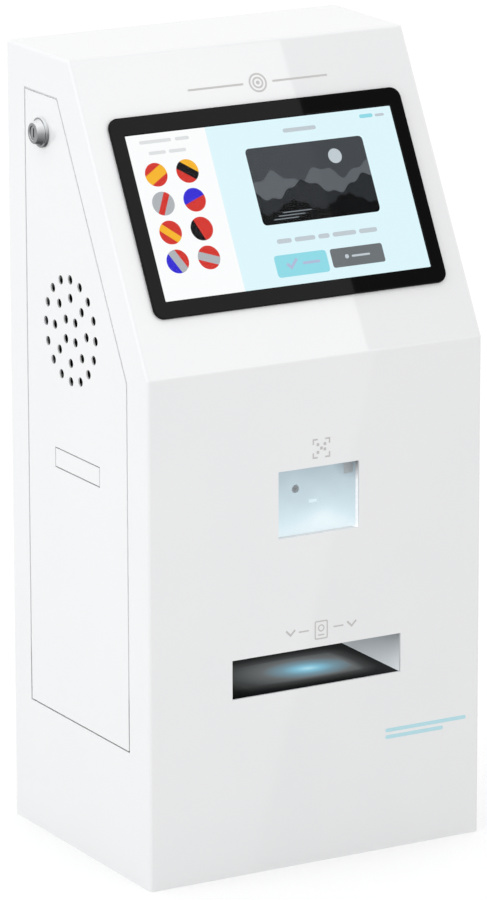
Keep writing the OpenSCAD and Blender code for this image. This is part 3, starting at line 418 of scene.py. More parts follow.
def lock_chrome():
    finish = worked("lock_chrome", roughness=0.15, marks_mm=0.6, stretch=(0.1, 1, 1))
    upward = along(finish, "Z", -CHROME_TURN, CHROME_TURN, kind="Normal")
    tone = blend_by(finish, upward, CHROME_FLOOR, CHROME_CEILING, between=[(0.5, CHROME_LEVEL)])
    feed(finish, tone, "Base Color")
    return finish


CHROME = lock_chrome()
ZINC = metal("zinc_plate", (0.66, 0.67, 0.69), roughness=0.34, marks_mm=2.5, spread=0.15)
BRASS = metal("contact_brass", (0.78, 0.6, 0.3), roughness=0.25)
SHEET_ALUMINIUM = metal("supply_sheet", (0.7, 0.71, 0.72), roughness=0.38, stretch=(1, 0.05, 1))
IRON = metal("magnet_iron", (0.2, 0.2, 0.21), roughness=0.55, marks_mm=1.0, spread=0.2)
BASKET_BLACK = metal("basket_black", (0.05, 0.05, 0.052), roughness=0.5)
print("made six metals")

# %% [markdown]
# Now the finishes go onto the CAD nodes. Each node keeps its mesh and its place, and only its material
# changes. One call names a finish and all the nodes that wear it, which is easier to check than fifty
# separate lines. The glass and what is lit are dressed further down.

# %% Dress the solid nodes
def dress(finish, *names):
    for name in names:
        slots = nodes[name].data.materials
        slots.clear()
        slots.append(finish)


dress(POWDER_COAT, "front_wrap", "left_cheek", "right_cheek", "base_plate", "rear_panel", "door_stop",
      "hinge_brackets", "lock_strike", "door_panel", "door_stiffener")
dress(BLANK_COAT, "blank_plate")
dress(ZINC, "rear_panel_screws", "hinge_pins", "panel_nuts", "scanner_bracket", "reader_shelf",
      "computer_bracket", "speaker_screws", "lock_cam", "cam_screw")
dress(BLACK_PLASTIC, "display_rear_cover", "scanner", "reader_housing", "computer", "power_inlet",
      "network_socket", "power_rocker", "supply_terminals")
dress(CHROME, "lock_housing", "lock_nut", "lock_plug")
dress(LENS_BLACK, "reader_camera")
dress(SENSOR_SMOKE_AND_SHADE, "scanner_sensor")
dress(BEZEL_BLACK, "display_bezel")
dress(BRASS, "inlet_pins")
dress(SHEET_ALUMINIUM, "power_supply")
dress(BASKET_BLACK, "speaker_basket")
dress(CONE_PAPER, "speaker_cone")
dress(IRON, "speaker_magnet")
print("dressed the solid nodes")

# %% [markdown]
# CAD edges are perfectly sharp, and nothing real is. A bevel modifier can round them, but it needs faces that
# share their corner points, and an imported CAD mesh keeps each face apart. Welding in edit mode would change
# the mesh itself. A small geometry-nodes group does it in the modifier stack, and marks what is smooth and
# what is an edge.

# %% Weld for CAD faces
WELD_MM = 0.002
SHARP_ANGLE = math.radians(32)


def weld_group():
    group = bpy.data.node_groups.new("weld_cad_faces", "GeometryNodeTree")
    group.interface.new_socket("Geometry", in_out="INPUT", socket_type="NodeSocketGeometry")
    group.interface.new_socket("Geometry", in_out="OUTPUT", socket_type="NodeSocketGeometry")
    start = group.nodes.new("NodeGroupInput")
    end = group.nodes.new("NodeGroupOutput")
    plain = group.nodes.new("GeometryNodeRemoveAttribute")
    plain.inputs["Name"].default_value = "custom_normal"
    weld = group.nodes.new("GeometryNodeMergeByDistance")
    weld.inputs["Distance"].default_value = WELD_MM * MM
    angle = group.nodes.new("GeometryNodeInputMeshEdgeAngle")
    is_flat = group.nodes.new("FunctionNodeCompare")
    is_flat.operation = "LESS_THAN"
    is_flat.inputs["B"].default_value = SHARP_ANGLE
    smooth_faces = group.nodes.new("GeometryNodeSetShadeSmooth")
    smooth_edges = group.nodes.new("GeometryNodeSetShadeSmooth")
    smooth_edges.domain = "EDGE"
    chain = [start, plain, weld, smooth_faces, smooth_edges, end]
    for one, other in zip(chain, chain[1:]):
        group.links.new(one.outputs["Geometry"], other.inputs["Geometry"])
    group.links.new(angle.outputs["Unsigned Angle"], is_flat.inputs["A"])
    group.links.new(is_flat.outputs["Result"], smooth_edges.inputs["Shade Smooth"])
    return group


WELD_GROUP = weld_group()
print("weld group of", len(WELD_GROUP.nodes), "nodes made")

# %% [markdown]
# After the weld, a planar decimate joins the thin triangles of each flat face, because a bevel that runs into
# a thin triangle tears a slit in the sheet. Then the bevel rounds the edges: by almost a millimetre on the
# moulded bezel, and by a quarter on cut sheet. The wrap and the cheeks are left alone: their corners are
# rounded in CAD, and a bevel would open a groove where the sheets are welded flush.

# %% Soft edges
FLAT_ANGLE = math.radians(0.5)
EDGE_SEGMENTS = 3


def soften(width_mm, *names):
    for name in names:
        modifiers = nodes[name].modifiers
        weld = modifiers.new("weld", "NODES")
        weld.node_group = WELD_GROUP
        merge = modifiers.new("merge", "DECIMATE")
        merge.decimate_type = "DISSOLVE"
        merge.angle_limit = FLAT_ANGLE
        edge = modifiers.new("edge", "BEVEL")
        edge.width = width_mm * MM
        edge.segments = EDGE_SEGMENTS
        edge.limit_method = "ANGLE"
        edge.angle_limit = SHARP_ANGLE
        edge.harden_normals = True


soften(0.9, "display_bezel")
soften(0.5, "lock_housing", "computer", "scanner", "display_rear_cover")
soften(0.3, "lock_plug", "lock_cam", "lock_nut", "power_inlet", "power_rocker", "network_socket",
       "power_supply", "supply_terminals")
soften(0.25, "door_panel", "blank_plate", "rear_panel")
print("softened the edges of", sum(len(o.modifiers) > 0 for o in nodes.values()), "nodes")

# %% [markdown]
# Flat artwork needs a flat place to stand on. This helper finds the outer flat face of a node that looks in a
# given direction, and gives its middle, its size and its three axes, so that later pieces are placed in
# millimetres across and up that face, like stickers, and follow the CAD model if it ever changes.

# %% Faces to work on
Face = namedtuple("Face", "middle across up out width height")
SAME_WAY = 0.9995
SAME_PLANE = 1e-5
SLOPE_OUT = (0, -0.88, 0.48)
FRONT_OUT = (0, -1, 0)


def face_of(name, towards):
    mesh = nodes[name].data
    towards = Vector(towards).normalized()
    out = max((p.normal.copy() for p in mesh.polygons), key=lambda normal: normal.dot(towards))
    facing = [p for p in mesh.polygons if p.normal.dot(out) > SAME_WAY]
    reach = max(p.center.dot(out) for p in facing)
    outer = [p for p in facing if p.center.dot(out) > reach - SAME_PLANE]
    points = [mesh.vertices[i].co for p in outer for i in p.vertices]
    up = (Vector((0, 0, 1)) - out * out.z).normalized()
    across = up.cross(out)
    spans = []
    for axis in (across, up):
        places = [p.dot(axis) for p in points]
        spans.append((min(places), max(places)))
    (left, right), (low, high) = spans
    middle = across * (left + right) / 2 + up * (low + high) / 2 + out * reach
    return Face(middle, across, up, out, right - left, high - low)


def on_face(face, lift_mm):
    """Matrix of a flat object that lies on a face, lifted off it a little."""
    turn = Matrix((face.across, face.up, face.out)).transposed().to_4x4()
    return Matrix.Translation(face.middle + face.out * lift_mm * MM) @ turn


PANEL_FACE = face_of("lcd_panel", SLOPE_OUT)
SLOPE_FACE = face_of("front_wrap", SLOPE_OUT)
FRONT_FACE = face_of("front_wrap", FRONT_OUT)
print("screen panel is", round(PANEL_FACE.width / MM), "by", round(PANEL_FACE.height / MM), "mm")

# %% [markdown]
# Gloss is told by what it mirrors, so photographers stand cards round a glossy product. One card here has a
# bright half and a black half, and their shared edge shows on the leaning face as a line up the slope, on
# paint and bezel alike. A dark patch lies on the floor in front, and the upright front mirrors its slanting
# edge. Only glossy rays see the cards, so they show as reflections and neither light nor shade the room.

# %% Mirrored cards
MIRROR_DIRECTION = Vector((0.496, -0.638, 0.59))
MIRROR_DISTANCE = 2.0
MIRROR_REACH = 0.6
MIRROR_EDGE_MM = 43.5
MIRROR_TILT = -0.035
MIRROR_HALVES = (("mirrored_bright_half", -1, 1.85), ("mirrored_black_half", 1, 0.0))
PATCH_START_MM = -64
PATCH_SLANT = 0.68
PATCH_DEPTH = 2.2
PATCH_RIGHT = 3.0
PATCH_RISE = 0.002
PATCH_LEVEL = 0.62
BLACK = (0, 0, 0, 1)


def mirror_card(name, points, strength):
    """A flat card that is seen in glossy surfaces only."""
    finish = new_finish(name, Base_Color=BLACK, Roughness=1.0, Specular_IOR_Level=0.0,
                        Emission_Color=WHITE, Emission_Strength=strength)
    card = stage_sheet(name, points, finish)
    for ray in ("camera", "diffuse", "transmission", "shadow"):
        setattr(card, "visible_" + ray, False)
    print("placed", name)


def slope_card():
    """The card stands about where the view goes on after the slope has mirrored it."""
    edge = SLOPE_FACE.middle + SLOPE_FACE.across * MIRROR_EDGE_MM * MM + MIRROR_DIRECTION * MIRROR_DISTANCE
    up = SLOPE_FACE.up + SLOPE_FACE.across * MIRROR_TILT
    up -= MIRROR_DIRECTION * up.dot(MIRROR_DIRECTION)
    up = up.normalized() * MIRROR_REACH
    for name, side, strength in MIRROR_HALVES:
        across = up.cross(MIRROR_DIRECTION) * side
        mirror_card(name, [edge - up, edge - up + across, edge + up + across, edge + up], strength)


def floor_patch():
    near_left = Vector((PATCH_START_MM * MM, FRONT_FACE.middle.y, PATCH_RISE))
    far_left = near_left + Vector((PATCH_SLANT, -1, 0)) * PATCH_DEPTH
    far_right = Vector((PATCH_RIGHT, far_left.y, PATCH_RISE))
    near_right = Vector((PATCH_RIGHT, near_left.y, PATCH_RISE))
    mirror_card("mirrored_floor_patch", [near_left, far_left, far_right, near_right], PATCH_LEVEL)


slope_card()
floor_patch()

# %% [markdown]
# Everything on the screen and every print on the paint is a flat outline with a hair of thickness. Blender's
# 2-D curves do this well: closed splines are filled, inner ones become holes, and extrude gives the
# thickness. The outline helpers return plain lists of points in millimetres. A disc is its middle and
# radius, a box its middle, width, height and corner radius, a bar its two ends, its height on the face and
# its thickness.

# %% Outlines
DISC_POINTS = 47
CORNER_STEPS = 6
ROUND_END = 0.49


def arc(u, v, r, start, end, steps):
    """Points along a circle, angles in degrees."""
    turns = [math.radians(start + (end - start) * i / steps) for i in range(steps + 1)]
    return [(u + r * math.cos(a), v + r * math.sin(a)) for a in turns]


def disc(u, v, r):
    return arc(u, v, r, 0, 360, DISC_POINTS)[:-1]


def rounded_box(u, v, w, h, r):
    bends = ((w / 2 - r, h / 2 - r, 0), (r - w / 2, h / 2 - r, 90),
             (r - w / 2, r - h / 2, 180), (w / 2 - r, r - h / 2, 270))
    return [p for x, y, a in bends for p in arc(u + x, v + y, r, a, a + 90, CORNER_STEPS)]


def bar(left, right, v, h):
    """A stroke with round ends, between two places."""
    return rounded_box((left + right) / 2, v, right - left, h, h * ROUND_END)


def flat_piece(name, outlines, face, lift_mm, thick_mm, finish):
    curve = bpy.data.curves.new(name, "CURVE")
    curve.dimensions = "2D"
    curve.fill_mode = "BOTH"
    curve.extrude = thick_mm / 2 * MM
    for outline in outlines:
        spline = curve.splines.new("POLY")
        spline.points.add(len(outline) - 1)
        for point, (u, v) in zip(spline.points, outline):
            point.co = (u * MM, v * MM, 0, 1)
        spline.use_cyclic_u = True
    curve.materials.append(finish)
    piece = bpy.data.objects.new(name, curve)
    piece.matrix_world = on_face(face, lift_mm + thick_mm / 2)
    scene.collection.objects.link(piece)
    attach(piece, "cabinet")
    return piece


print("outline helpers ready")

# %% [markdown]
# A liquid crystal panel gives its own light, so its picture is emission: it looks the same however the room
# is lit. Faint rows run across the panel, and their strength drifts slowly from place to place. Both are laid
# over the written colour, so that no area of the picture is one dead flat tone.

# %% Lit colours
ROW_PITCH_MM = 1.1938
ROW_DEPTH = 0.03
WAVE_BANDS = 20 / (2 * math.pi)
DRIFT_MM = 60
DRIFT_SHARES = (0.6, 1.0)
PAGE_COLOURS = {
    "white": (254, 255, 255), "pale_cyan": (225, 249, 254), "cyan": (146, 221, 233), "grey": (112, 117, 120),
    "ink": (196, 206, 212), "faint": (226, 228, 228), "red": (214, 58, 50), "amber": (249, 184, 48),
    "black": (24, 24, 26), "blue": (56, 48, 214), "silver": (178, 182, 186),
}


def srgb(red, green, blue):
    """A colour as a screen shows it, 0 to 255, turned into the light that Blender counts in."""
    parts = [c / 255 for c in (red, green, blue)]
    return tuple(c / 12.92 if c <= 0.04045 else ((c + 0.055) / 1.055) ** 2.4 for c in parts)


def screen_light(name, colour, strength=1.0):
    """A finish that shines. At scale 1, Blender's wave texture has WAVE_BANDS bands to a metre."""
    finish = new_finish(name, Base_Color=BLACK, Roughness=0.5, Specular_IOR_Level=0.0,
                        Emission_Strength=strength)
    row_scale = 1 / (ROW_PITCH_MM * MM * WAVE_BANDS)
    rows = add_node(finish, "ShaderNodeTexWave", {"Scale": row_scale}, bands_direction="Y")
    wire(finish, coordinates(finish), rows.inputs["Vector"])
    drift = range_of(finish, noise(finish, DRIFT_MM, detail=1.0), *DRIFT_SHARES)
    level = combine(finish, "MULTIPLY", rows.outputs["Fac"], drift)
    light = srgb(*colour)
    feed(finish, blend_by(finish, level, shade(light, 1 - ROW_DEPTH), light), "Emission Color")
    return finish


LIT = {name: screen_light("lit_" + name, colour) for name, colour in PAGE_COLOURS.items()}
print("made", len(LIT), "lit colours")

# %% [markdown]
# The screen's layout is a generic check-in page: a white column with a choice of eight round language marks,
# and a pale panel with a picture, a line of help and two buttons. Each line on the page is a row of plain
# bars, as in a designer's wireframe. Places are measured from the middle of the lit area, and each layer of
# the page lies a few hundredths of a millimetre over the last.

# %% Page columns and bars
PANEL_RIM_MM = 3.0
LIT_W = PANEL_FACE.width / MM - 2 * PANEL_RIM_MM
LIT_H = PANEL_FACE.height / MM - 2 * PANEL_RIM_MM
UNDER_BEZEL = 1.2
SPLIT_U = -51.3
PAGE_FILM_MM = 0.04
PAGE_LIFT_MM = 0.02
ART_LIFT_MM = 0.1
HEADING = [(-115.7, -85.3, 66, 3.0), (-81.6, -68.2, 66, 3.0), (-109.3, -93, 56, 3.0), (-90, -73.5, 56, 3.0)]
TITLE = (21.6, 53.9, 62, 3.6)
HELP_SPANS = [(-10.3, 4), (7, 27), (30, 41), (44, 67), (70, 87.7)]
HELP_V, HELP_H = -33.2, 4.0
CORNER_MARK = (98.2, 111.3, 66.6, 3.4)
CORNER_NOTE = (113.5, 122.5, 66.2, 2.4)


def screen_piece(name, outlines, lift_mm, finish):
    return flat_piece(name, outlines, PANEL_FACE, lift_mm, PAGE_FILM_MM, finish)


def page_column(name, left, right, finish):
    half = LIT_H / 2 + UNDER_BEZEL
    screen_piece(name, [[(left, -half), (right, -half), (right, half), (left, half)]], PAGE_LIFT_MM, finish)


def page_bars():
    help_line = [bar(left, right, HELP_V, HELP_H) for left, right in HELP_SPANS]
    screen_piece("screen_heading", [bar(*line) for line in HEADING], ART_LIFT_MM, LIT["faint"])
    screen_piece("screen_title", [bar(*TITLE)], ART_LIFT_MM, LIT["ink"])
    screen_piece("screen_help_line", help_line, ART_LIFT_MM, LIT["ink"])
    screen_piece("screen_corner_mark", [bar(*CORNER_MARK)], ART_LIFT_MM, LIT["cyan"])
    screen_piece("screen_corner_note", [bar(*CORNER_NOTE)], ART_LIFT_MM, LIT["ink"])


page_column("screen_white_column", -LIT_W / 2 - UNDER_BEZEL, SPLIT_U, LIT["white"])
page_column("screen_pale_panel", SPLIT_U, LIT_W / 2 + UNDER_BEZEL, LIT["pale_cyan"])
page_bars()
print("page columns and bars made")

# %% [markdown]
# Eight round marks stand for languages. Each disc is cut into a few slanted bands in the page's own colours.
# A band of a disc is an arc on each side and a straight cut above and below, so two arcs joined end to end
# make its outline, and turning the points turns the bands. A mark is written as its tilt in degrees and its
# bands from the foot up, each with its share of the height and its colour.

# %% Language marks
MARK_R = 10.4
MARK_U = (-107.1, -77.3)
MARK_TOP = 37.2
MARK_PITCH = 25.4
BAND_STEPS = 16
MARKS = [
    [(30, [(0.28, "red"), (0.44, "amber"), (0.28, "red")]),
     (-35, [(0.36, "red"), (0.34, "black"), (0.30, "amber")])],
    [(62, [(0.34, "silver"), (0.26, "red"), (0.40, "silver")]),
     (20, [(0.50, "red"), (0.50, "blue")])],
    [(-40, [(0.30, "red"), (0.30, "amber"), (0.40, "red")]),
     (112, [(0.62, "red"), (0.38, "black")])],
    [(118, [(0.30, "red"), (0.34, "silver"), (0.36, "blue")]),
     (-20, [(0.30, "red"), (0.34, "silver"), (0.36, "red")])],
]


def disc_band(u, v, r, low, high, tilt):
    """The part of a disc between two heights, from -1 at its foot to 1 at its top, turned by a tilt."""
    lower, upper = (math.degrees(math.asin(max(-1, min(1, h)))) for h in (low, high))
    right = arc(0, 0, r, lower, upper, BAND_STEPS)
    left = arc(0, 0, r, 180 - upper, 180 - lower, BAND_STEPS)
    points = right + (left[1:] if high >= 1 else left)
    if low <= -1:
        points = points[:-1]
    turn = math.radians(tilt)
    c, s = math.cos(turn), math.sin(turn)
    return [(u + x * c - y * s, v + x * s + y * c) for x, y in points]


def language_mark(row, column, tilt, bands):
    low = -1.0
    for index, (share, colour) in enumerate(bands):
        high = min(1.0, low + 2 * share)
        shape = disc_band(MARK_U[column], MARK_TOP - row * MARK_PITCH, MARK_R, low, high, tilt)
        screen_piece(f"language_mark_{row}_{column}_{index}", [shape], ART_LIFT_MM, LIT[colour])
        low = high


for row, pair in enumerate(MARKS):
    for column, (tilt, bands) in enumerate(pair):
        language_mark(row, column, tilt, bands)
print("made", sum(len(pair) for pair in MARKS), "language marks")

# %% [markdown]
# The picture on the page is a generic one in greys: a dusk sky, a pale moon, three rows of hills and glints
# on water. Each layer of hills is the space between two height lines, trimmed to the card's rounded corners,
# which is quicker to draw and to change than an image, and stays sharp at any size. A row of hills is written
# as its grey, its base and its waves, each with a height, a length and a shift.

# %% Picture card
CARD_U, CARD_V = 38.3, 15.9
CARD_W, CARD_H, CARD_R = 114.6, 68.2, 4.0
CARD_STEPS = 72
SKY_COLOUR = (70, 74, 78)
MOON_U, MOON_V, MOON_R = 27, 19, 6.5
MOON_LIFT_MM = 0.15
HILLS = [
    ("card_far_hills", (96, 101, 106), 6.0, [(5.0, 46, 0.4), (2.2, 19, 1.3)]),
    ("card_middle_hills", (44, 47, 50), -6.0, [(6.5, 63, 2.6), (1.6, 15, 0.2)]),
    ("card_near_hills", (17, 18, 19), -20.0, [(5.0, 52, 4.4), (1.2, 11, 2.0)]),
]
HILL_LIFT_MM, HILL_STEP_MM = 0.2, 0.05
GLINTS = 3
GLINT_LEFT, GLINT_LEFT_STEP = -46, 5
GLINT_RIGHT, GLINT_RIGHT_STEP = -22, 7
GLINT_V, GLINT_V_STEP = -30, 2.6
GLINT_H = 0.9
GLINT_COLOUR = (128, 136, 142)
GLINT_LIFT_MM = 0.36


def card_edge(x):
    """Half the card's height at a place across it, smaller within the rounded corners."""
    past = max(0.0, abs(x) - (CARD_W / 2 - CARD_R))
    return CARD_H / 2 - CARD_R + math.sqrt(max(0.0, CARD_R ** 2 - past ** 2))


def hill_line(base, waves, x):
    return base + sum(height * math.sin(2 * math.pi * x / length + shift) for height, length, shift in waves)


def hill_layer(base, waves):
    across = [-CARD_W / 2 + CARD_W * i / CARD_STEPS for i in range(CARD_STEPS + 1)]
    top = [(x, max(-card_edge(x), min(card_edge(x), hill_line(base, waves, x)))) for x in across]
    foot = [(x, -card_edge(x)) for x in reversed(across)]
    return [(CARD_U + x, CARD_V + y) for x, y in top + foot]


def glint(i):
    """A bar of light on the water. Each one lies higher and further right than the last, and is longer."""
    left = CARD_U + GLINT_LEFT + GLINT_LEFT_STEP * i
    right = CARD_U + GLINT_RIGHT + GLINT_RIGHT_STEP * i
    return bar(left, right, CARD_V + GLINT_V + GLINT_V_STEP * i, GLINT_H)


def picture_card():
    sky = rounded_box(CARD_U, CARD_V, CARD_W, CARD_H, CARD_R)
    screen_piece("card_sky", [sky], ART_LIFT_MM, screen_light("lit_dusk_sky", SKY_COLOUR))
    moon = disc(CARD_U + MOON_U, CARD_V + MOON_V, MOON_R)
    screen_piece("card_moon", [moon], MOON_LIFT_MM, LIT["ink"])
    for level, (name, grey, base, waves) in enumerate(HILLS):
        lift = HILL_LIFT_MM + HILL_STEP_MM * level
        screen_piece(name, [hill_layer(base, waves)], lift, screen_light("lit_" + name, grey))
    glints = [glint(i) for i in range(GLINTS)]
    screen_piece("card_water_glints", glints, GLINT_LIFT_MM, screen_light("lit_water", GLINT_COLOUR))


picture_card()
print("picture card of", len(HILLS), "hill layers made")

# %% [markdown]
# Two buttons close the page: a cyan one to go on, with a tick, and a grey one to go back, with a dot. Each
# has a bar too. They are picture only. The kiosk has no keys of its own, so nothing here travels when it is
# pressed.

# %% Screen buttons
GO_ON = (8.2, -54.8, 50.6, 19.4, 3.0)
GO_BACK = (62.8, -53.8, 51.0, 16.6, 2.0)
TICK = [(-7, -54.2), (-5, -52.2), (-2.4, -55), (3.4, -48.8), (5.2, -50.6), (-2.4, -58.6)]
TICK_COLOUR = (178, 190, 218)
GO_ON_BAR = (9, 26, -54.2, 2.4)
GO_BACK_DOT = (52.4, -53.4, 1.9)
GO_BACK_BAR = (57, 75, -53.6, 1.8)
BUTTON_MARK_LIFT_MM = 0.15


def screen_buttons():
    screen_piece("button_go_on", [rounded_box(*GO_ON)], ART_LIFT_MM, LIT["cyan"])
    screen_piece("button_go_back", [rounded_box(*GO_BACK)], ART_LIFT_MM, LIT["grey"])
    soft = screen_light("lit_button_mark", TICK_COLOUR)
    screen_piece("button_tick", [TICK, bar(*GO_ON_BAR)], BUTTON_MARK_LIFT_MM, soft)
    screen_piece("button_back_mark", [disc(*GO_BACK_DOT), bar(*GO_BACK_BAR)], BUTTON_MARK_LIFT_MM, LIT["ink"])


screen_buttons()
print("two screen buttons made")

# %% [markdown]
# Glass is one shader with full transmission. The touch glass has an anti-reflection coat, so its index is set
# low and the picture stays clear. The code window is tinted a little, and the panel behind the picture is
# black, so a thin dark line shows round the lit area as on a real display.

# %% Glass and the dark panel
SMEAR_MM = 30
SMEAR_STRETCH = (1, 1, 0.4)
SMEAR_ROUGHNESS = (0.0, 0.025)


def clear_glass(name, tint, index):
    finish = new_finish(name, Base_Color=(*tint, 1), IOR=index, Transmission_Weight=1.0)
    smear = noise(finish, SMEAR_MM, stretch=SMEAR_STRETCH)
    feed(finish, range_of(finish, smear, *SMEAR_ROUGHNESS), "Roughness")
    return finish


dress(clear_glass("touch_glass_coated", (0.99, 0.995, 1.0), 1.12), "touch_glass")
dress(clear_glass("window_glass_pale", (0.96, 0.985, 1.0), 1.18), "scanner_glass")
dress(LENS_BLACK, "lcd_panel")
print("made two glasses")

# %% [markdown]
# Behind the code window a white plate spreads the scanner's own light. It is grey-blue at the top, where the
# lamp is far, and nearly white at the foot. A gradient along the height, bent by a slow noise and by a bright
# spot low down, gives that. The upper right corner of the window lies in shade, on the plate and on the
# tunnel alike, so the shade is one round gradient that both finishes use.

# %% Lit plate of the code window
SHADE_REACH_MM = (24, 20)
PLATE_SHADE = 0.35
PLATE_COLOUR = (0.02, 0.02, 0.02, 1)
PLATE_FOOT = srgb(232, 243, 246)
PLATE_TOP = srgb(168, 183, 191)
PLATE_BETWEEN = ((0.2, srgb(214, 231, 237)), (0.55, srgb(194, 210, 217)))
PLATE_CLOUD_MM = 26
PLATE_CLOUD = 0.14
SPOT_PLACE_MM = (5, 10)
SPOT_REACH_MM = (30, 15)
SPOT_DROP = -0.22
LEFT_OUT = 1.0


def round_spot(finish, place, reach):
    """1 at a place, fading to 0 at a reach for each axis. A reach of a metre leaves that axis out."""
    spot = add_node(finish, "ShaderNodeMapping", {"Location": place, "Scale": reach}, vector_type="TEXTURE")
    wire(finish, coordinates(finish), spot.inputs["Vector"])
    fade = add_node(finish, "ShaderNodeTexGradient", gradient_type="SPHERICAL")
    wire(finish, spot.outputs["Vector"], fade.inputs["Vector"])
    return fade.outputs["Fac"]


def corner_shade(finish):
    """1 in the window's upper right corner, fading to 0 round it."""
    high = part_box("scanner_glass")[1]
    return round_spot(finish, high, (SHADE_REACH_MM[0] * MM, LEFT_OUT, SHADE_REACH_MM[1] * MM))


def lit_plate():
    low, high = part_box("scanner_plate")
    middle = (low + high) / 2
    finish = new_finish("window_lit_plate", Base_Color=PLATE_COLOUR)
    spot_at = (middle.x + SPOT_PLACE_MM[0] * MM, middle.y, low.z + SPOT_PLACE_MM[1] * MM)
    spot = round_spot(finish, spot_at, (SPOT_REACH_MM[0] * MM, LEFT_OUT, SPOT_REACH_MM[1] * MM))
    height = along(finish, "Z", low.z, high.z)
    cloud = range_of(finish, noise(finish, PLATE_CLOUD_MM, detail=1.0), -PLATE_CLOUD, PLATE_CLOUD)
    place = combine(finish, "ADD", height, cloud, range_of(finish, spot, 0.0, SPOT_DROP))
    feed(finish, blend_by(finish, place, PLATE_FOOT, PLATE_TOP, PLATE_BETWEEN), "Emission Color")
    feed(finish, range_of(finish, corner_shade(finish), 1.0, PLATE_SHADE), "Emission Strength")
    return finish


dress(lit_plate(), "scanner_plate")
dress(screen_light("scanner_lamp_light", (228, 245, 250)), "scanner_lamp")
print("code window lit")

# %% [markdown]
# A lens is dark only in its middle: its coated glass mirrors the lit tunnel, so a round gradient pales it to
# the rim. The plate's light also brightens the tunnel's right wall, close to the window's mouth. Real light
# in so small a box would be noisy, so the wall gets a soft emission of its own, as a product of gradients.

# %% Lens and tunnel of the code window
EYE_RIM = (0.5, 0.53, 0.55)
EYE_PUPIL = (0.17, 0.178, 0.185)
EYE_FADE = 0.65
TUNNEL_PLAIN = (0.84, 0.85, 0.86)
TUNNEL_SHADE = (0.12, 0.12, 0.125)
TUNNEL_GLOW = 0.38
TUNNEL_MOUTH_MM = 14
TUNNEL_WALL_MM = (6, 3)


def coated_lens():
    low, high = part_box("scanner_lens")
    finish = moulded("coated_lens", roughness=0.2, grain_mm=3.0)
    reach = (high.x - low.x) * EYE_FADE
    pupil = round_spot(finish, (low + high) / 2, (reach, LEFT_OUT, reach))
    feed(finish, blend_by(finish, pupil, EYE_RIM, EYE_PUPIL), "Base Color")
    return finish


def lit_tunnel():
    finish = moulded("tunnel_white", roughness=0.4)
    set_sockets(finish, Emission_Color=WHITE)
    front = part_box("scanner_tunnel")[0].y
    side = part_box("scanner_glass")[1].x
    mouth = range_of(finish, along(finish, "Y", front + TUNNEL_MOUTH_MM * MM, front), 0.0, TUNNEL_GLOW)
    wall = along(finish, "X", side - TUNNEL_WALL_MM[0] * MM, side - TUNNEL_WALL_MM[1] * MM)
    corner = corner_shade(finish)
    lit = combine(finish, "MULTIPLY", mouth, wall, range_of(finish, corner, 1.0, 0.0))
    feed(finish, lit, "Emission Strength")
    feed(finish, blend_by(finish, corner, TUNNEL_PLAIN, TUNNEL_SHADE), "Base Color")
    return finish


dress(coated_lens(), "scanner_lens")
dress(lit_tunnel(), "scanner_tunnel")
print("lens and tunnel made")

# %% [markdown]
# The passport pocket ends in a sheet of smoked glass, lit from below. From outside one sees a dark floor with
# a soft blue-white glow in its middle. The glow is emission on the glass itself, as a round gradient
# stretched along the width: real light through smoked glass would take far more samples for the same look.
# Painted light on the liner's walls stands for the reader's light and the room's, most low down and at the
# mouth.

# %% Pocket glass and liner
SMOKED_COLOUR = (0.003, 0.003, 0.003, 1)
SMOKED_INDEX = 1.05
SMOKED_SMEAR_MM = 20
SMOKED_ROUGHNESS = (0.05, 0.14)
GLOW_PLACE_MM = (19.0, -4.0)
GLOW_REACH_MM = (122.0, 72.0)
GLOW_EDGE_MM = (26.0, 24.0)
GLOW_NONE = (0.001, 0.001, 0.001)
GLOW_FULL = srgb(170, 222, 238)
GLOW_STEPS = ((0.12, srgb(24, 25, 25)), (0.4, srgb(60, 62, 62)), (0.64, srgb(100, 103, 104)),
              (0.8, srgb(114, 146, 160)), (0.9, srgb(128, 184, 206)))
LINER_COLOUR = (0.42, 0.44, 0.45)
LINER_LIGHT = (0.9, 0.96, 1.0, 1)
LINER_DEPTH_MM = 75
LINER_DEEP = 0.6
LINER_FOOT = 0.62
READER_LIGHT = 0.5


def edge_fade(finish, axis, low, high, width_mm):
    """1 in the middle of a stretch, falling to 0 at both its ends."""
    width = width_mm * MM
    return combine(finish, "MULTIPLY", along(finish, axis, low, low + width),
                   along(finish, axis, high, high - width))


def smoked_glass():
    low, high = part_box("pocket_glass")
    middle = (low + high) / 2
    finish = new_finish("smoked_glass", Base_Color=SMOKED_COLOUR, IOR=SMOKED_INDEX, Emission_Strength=1.0)
    feed(finish, range_of(finish, noise(finish, SMOKED_SMEAR_MM), *SMOKED_ROUGHNESS), "Roughness")
    spot_at = (middle.x + GLOW_PLACE_MM[0] * MM, middle.y + GLOW_PLACE_MM[1] * MM, high.z)
    spot = round_spot(finish, spot_at, (GLOW_REACH_MM[0] * MM, GLOW_REACH_MM[1] * MM, LEFT_OUT))
    fades = [edge_fade(finish, "XY"[i], low[i], high[i], width) for i, width in enumerate(GLOW_EDGE_MM)]
    glow = combine(finish, "MULTIPLY", spot, *fades)
    feed(finish, blend_by(finish, glow, GLOW_NONE, GLOW_FULL, GLOW_STEPS), "Emission Color")
    return finish


def lit_liner():
    low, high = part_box("pocket_liner")
    finish = plastic("liner_grey", LINER_COLOUR, roughness=0.5, spread=0.03)
    set_sockets(finish, Emission_Color=LINER_LIGHT)
    mouth = range_of(finish, along(finish, "Y", low.y + LINER_DEPTH_MM * MM, low.y), LINER_DEEP, 1.0)
    foot = range_of(finish, along(finish, "Z", low.z, high.z), LINER_FOOT, 0.0)
    # Painted light: the liner glows most near the pocket's mouth and low down.
    feed(finish, combine(finish, "MULTIPLY", mouth, foot), "Emission Strength")
    return finish


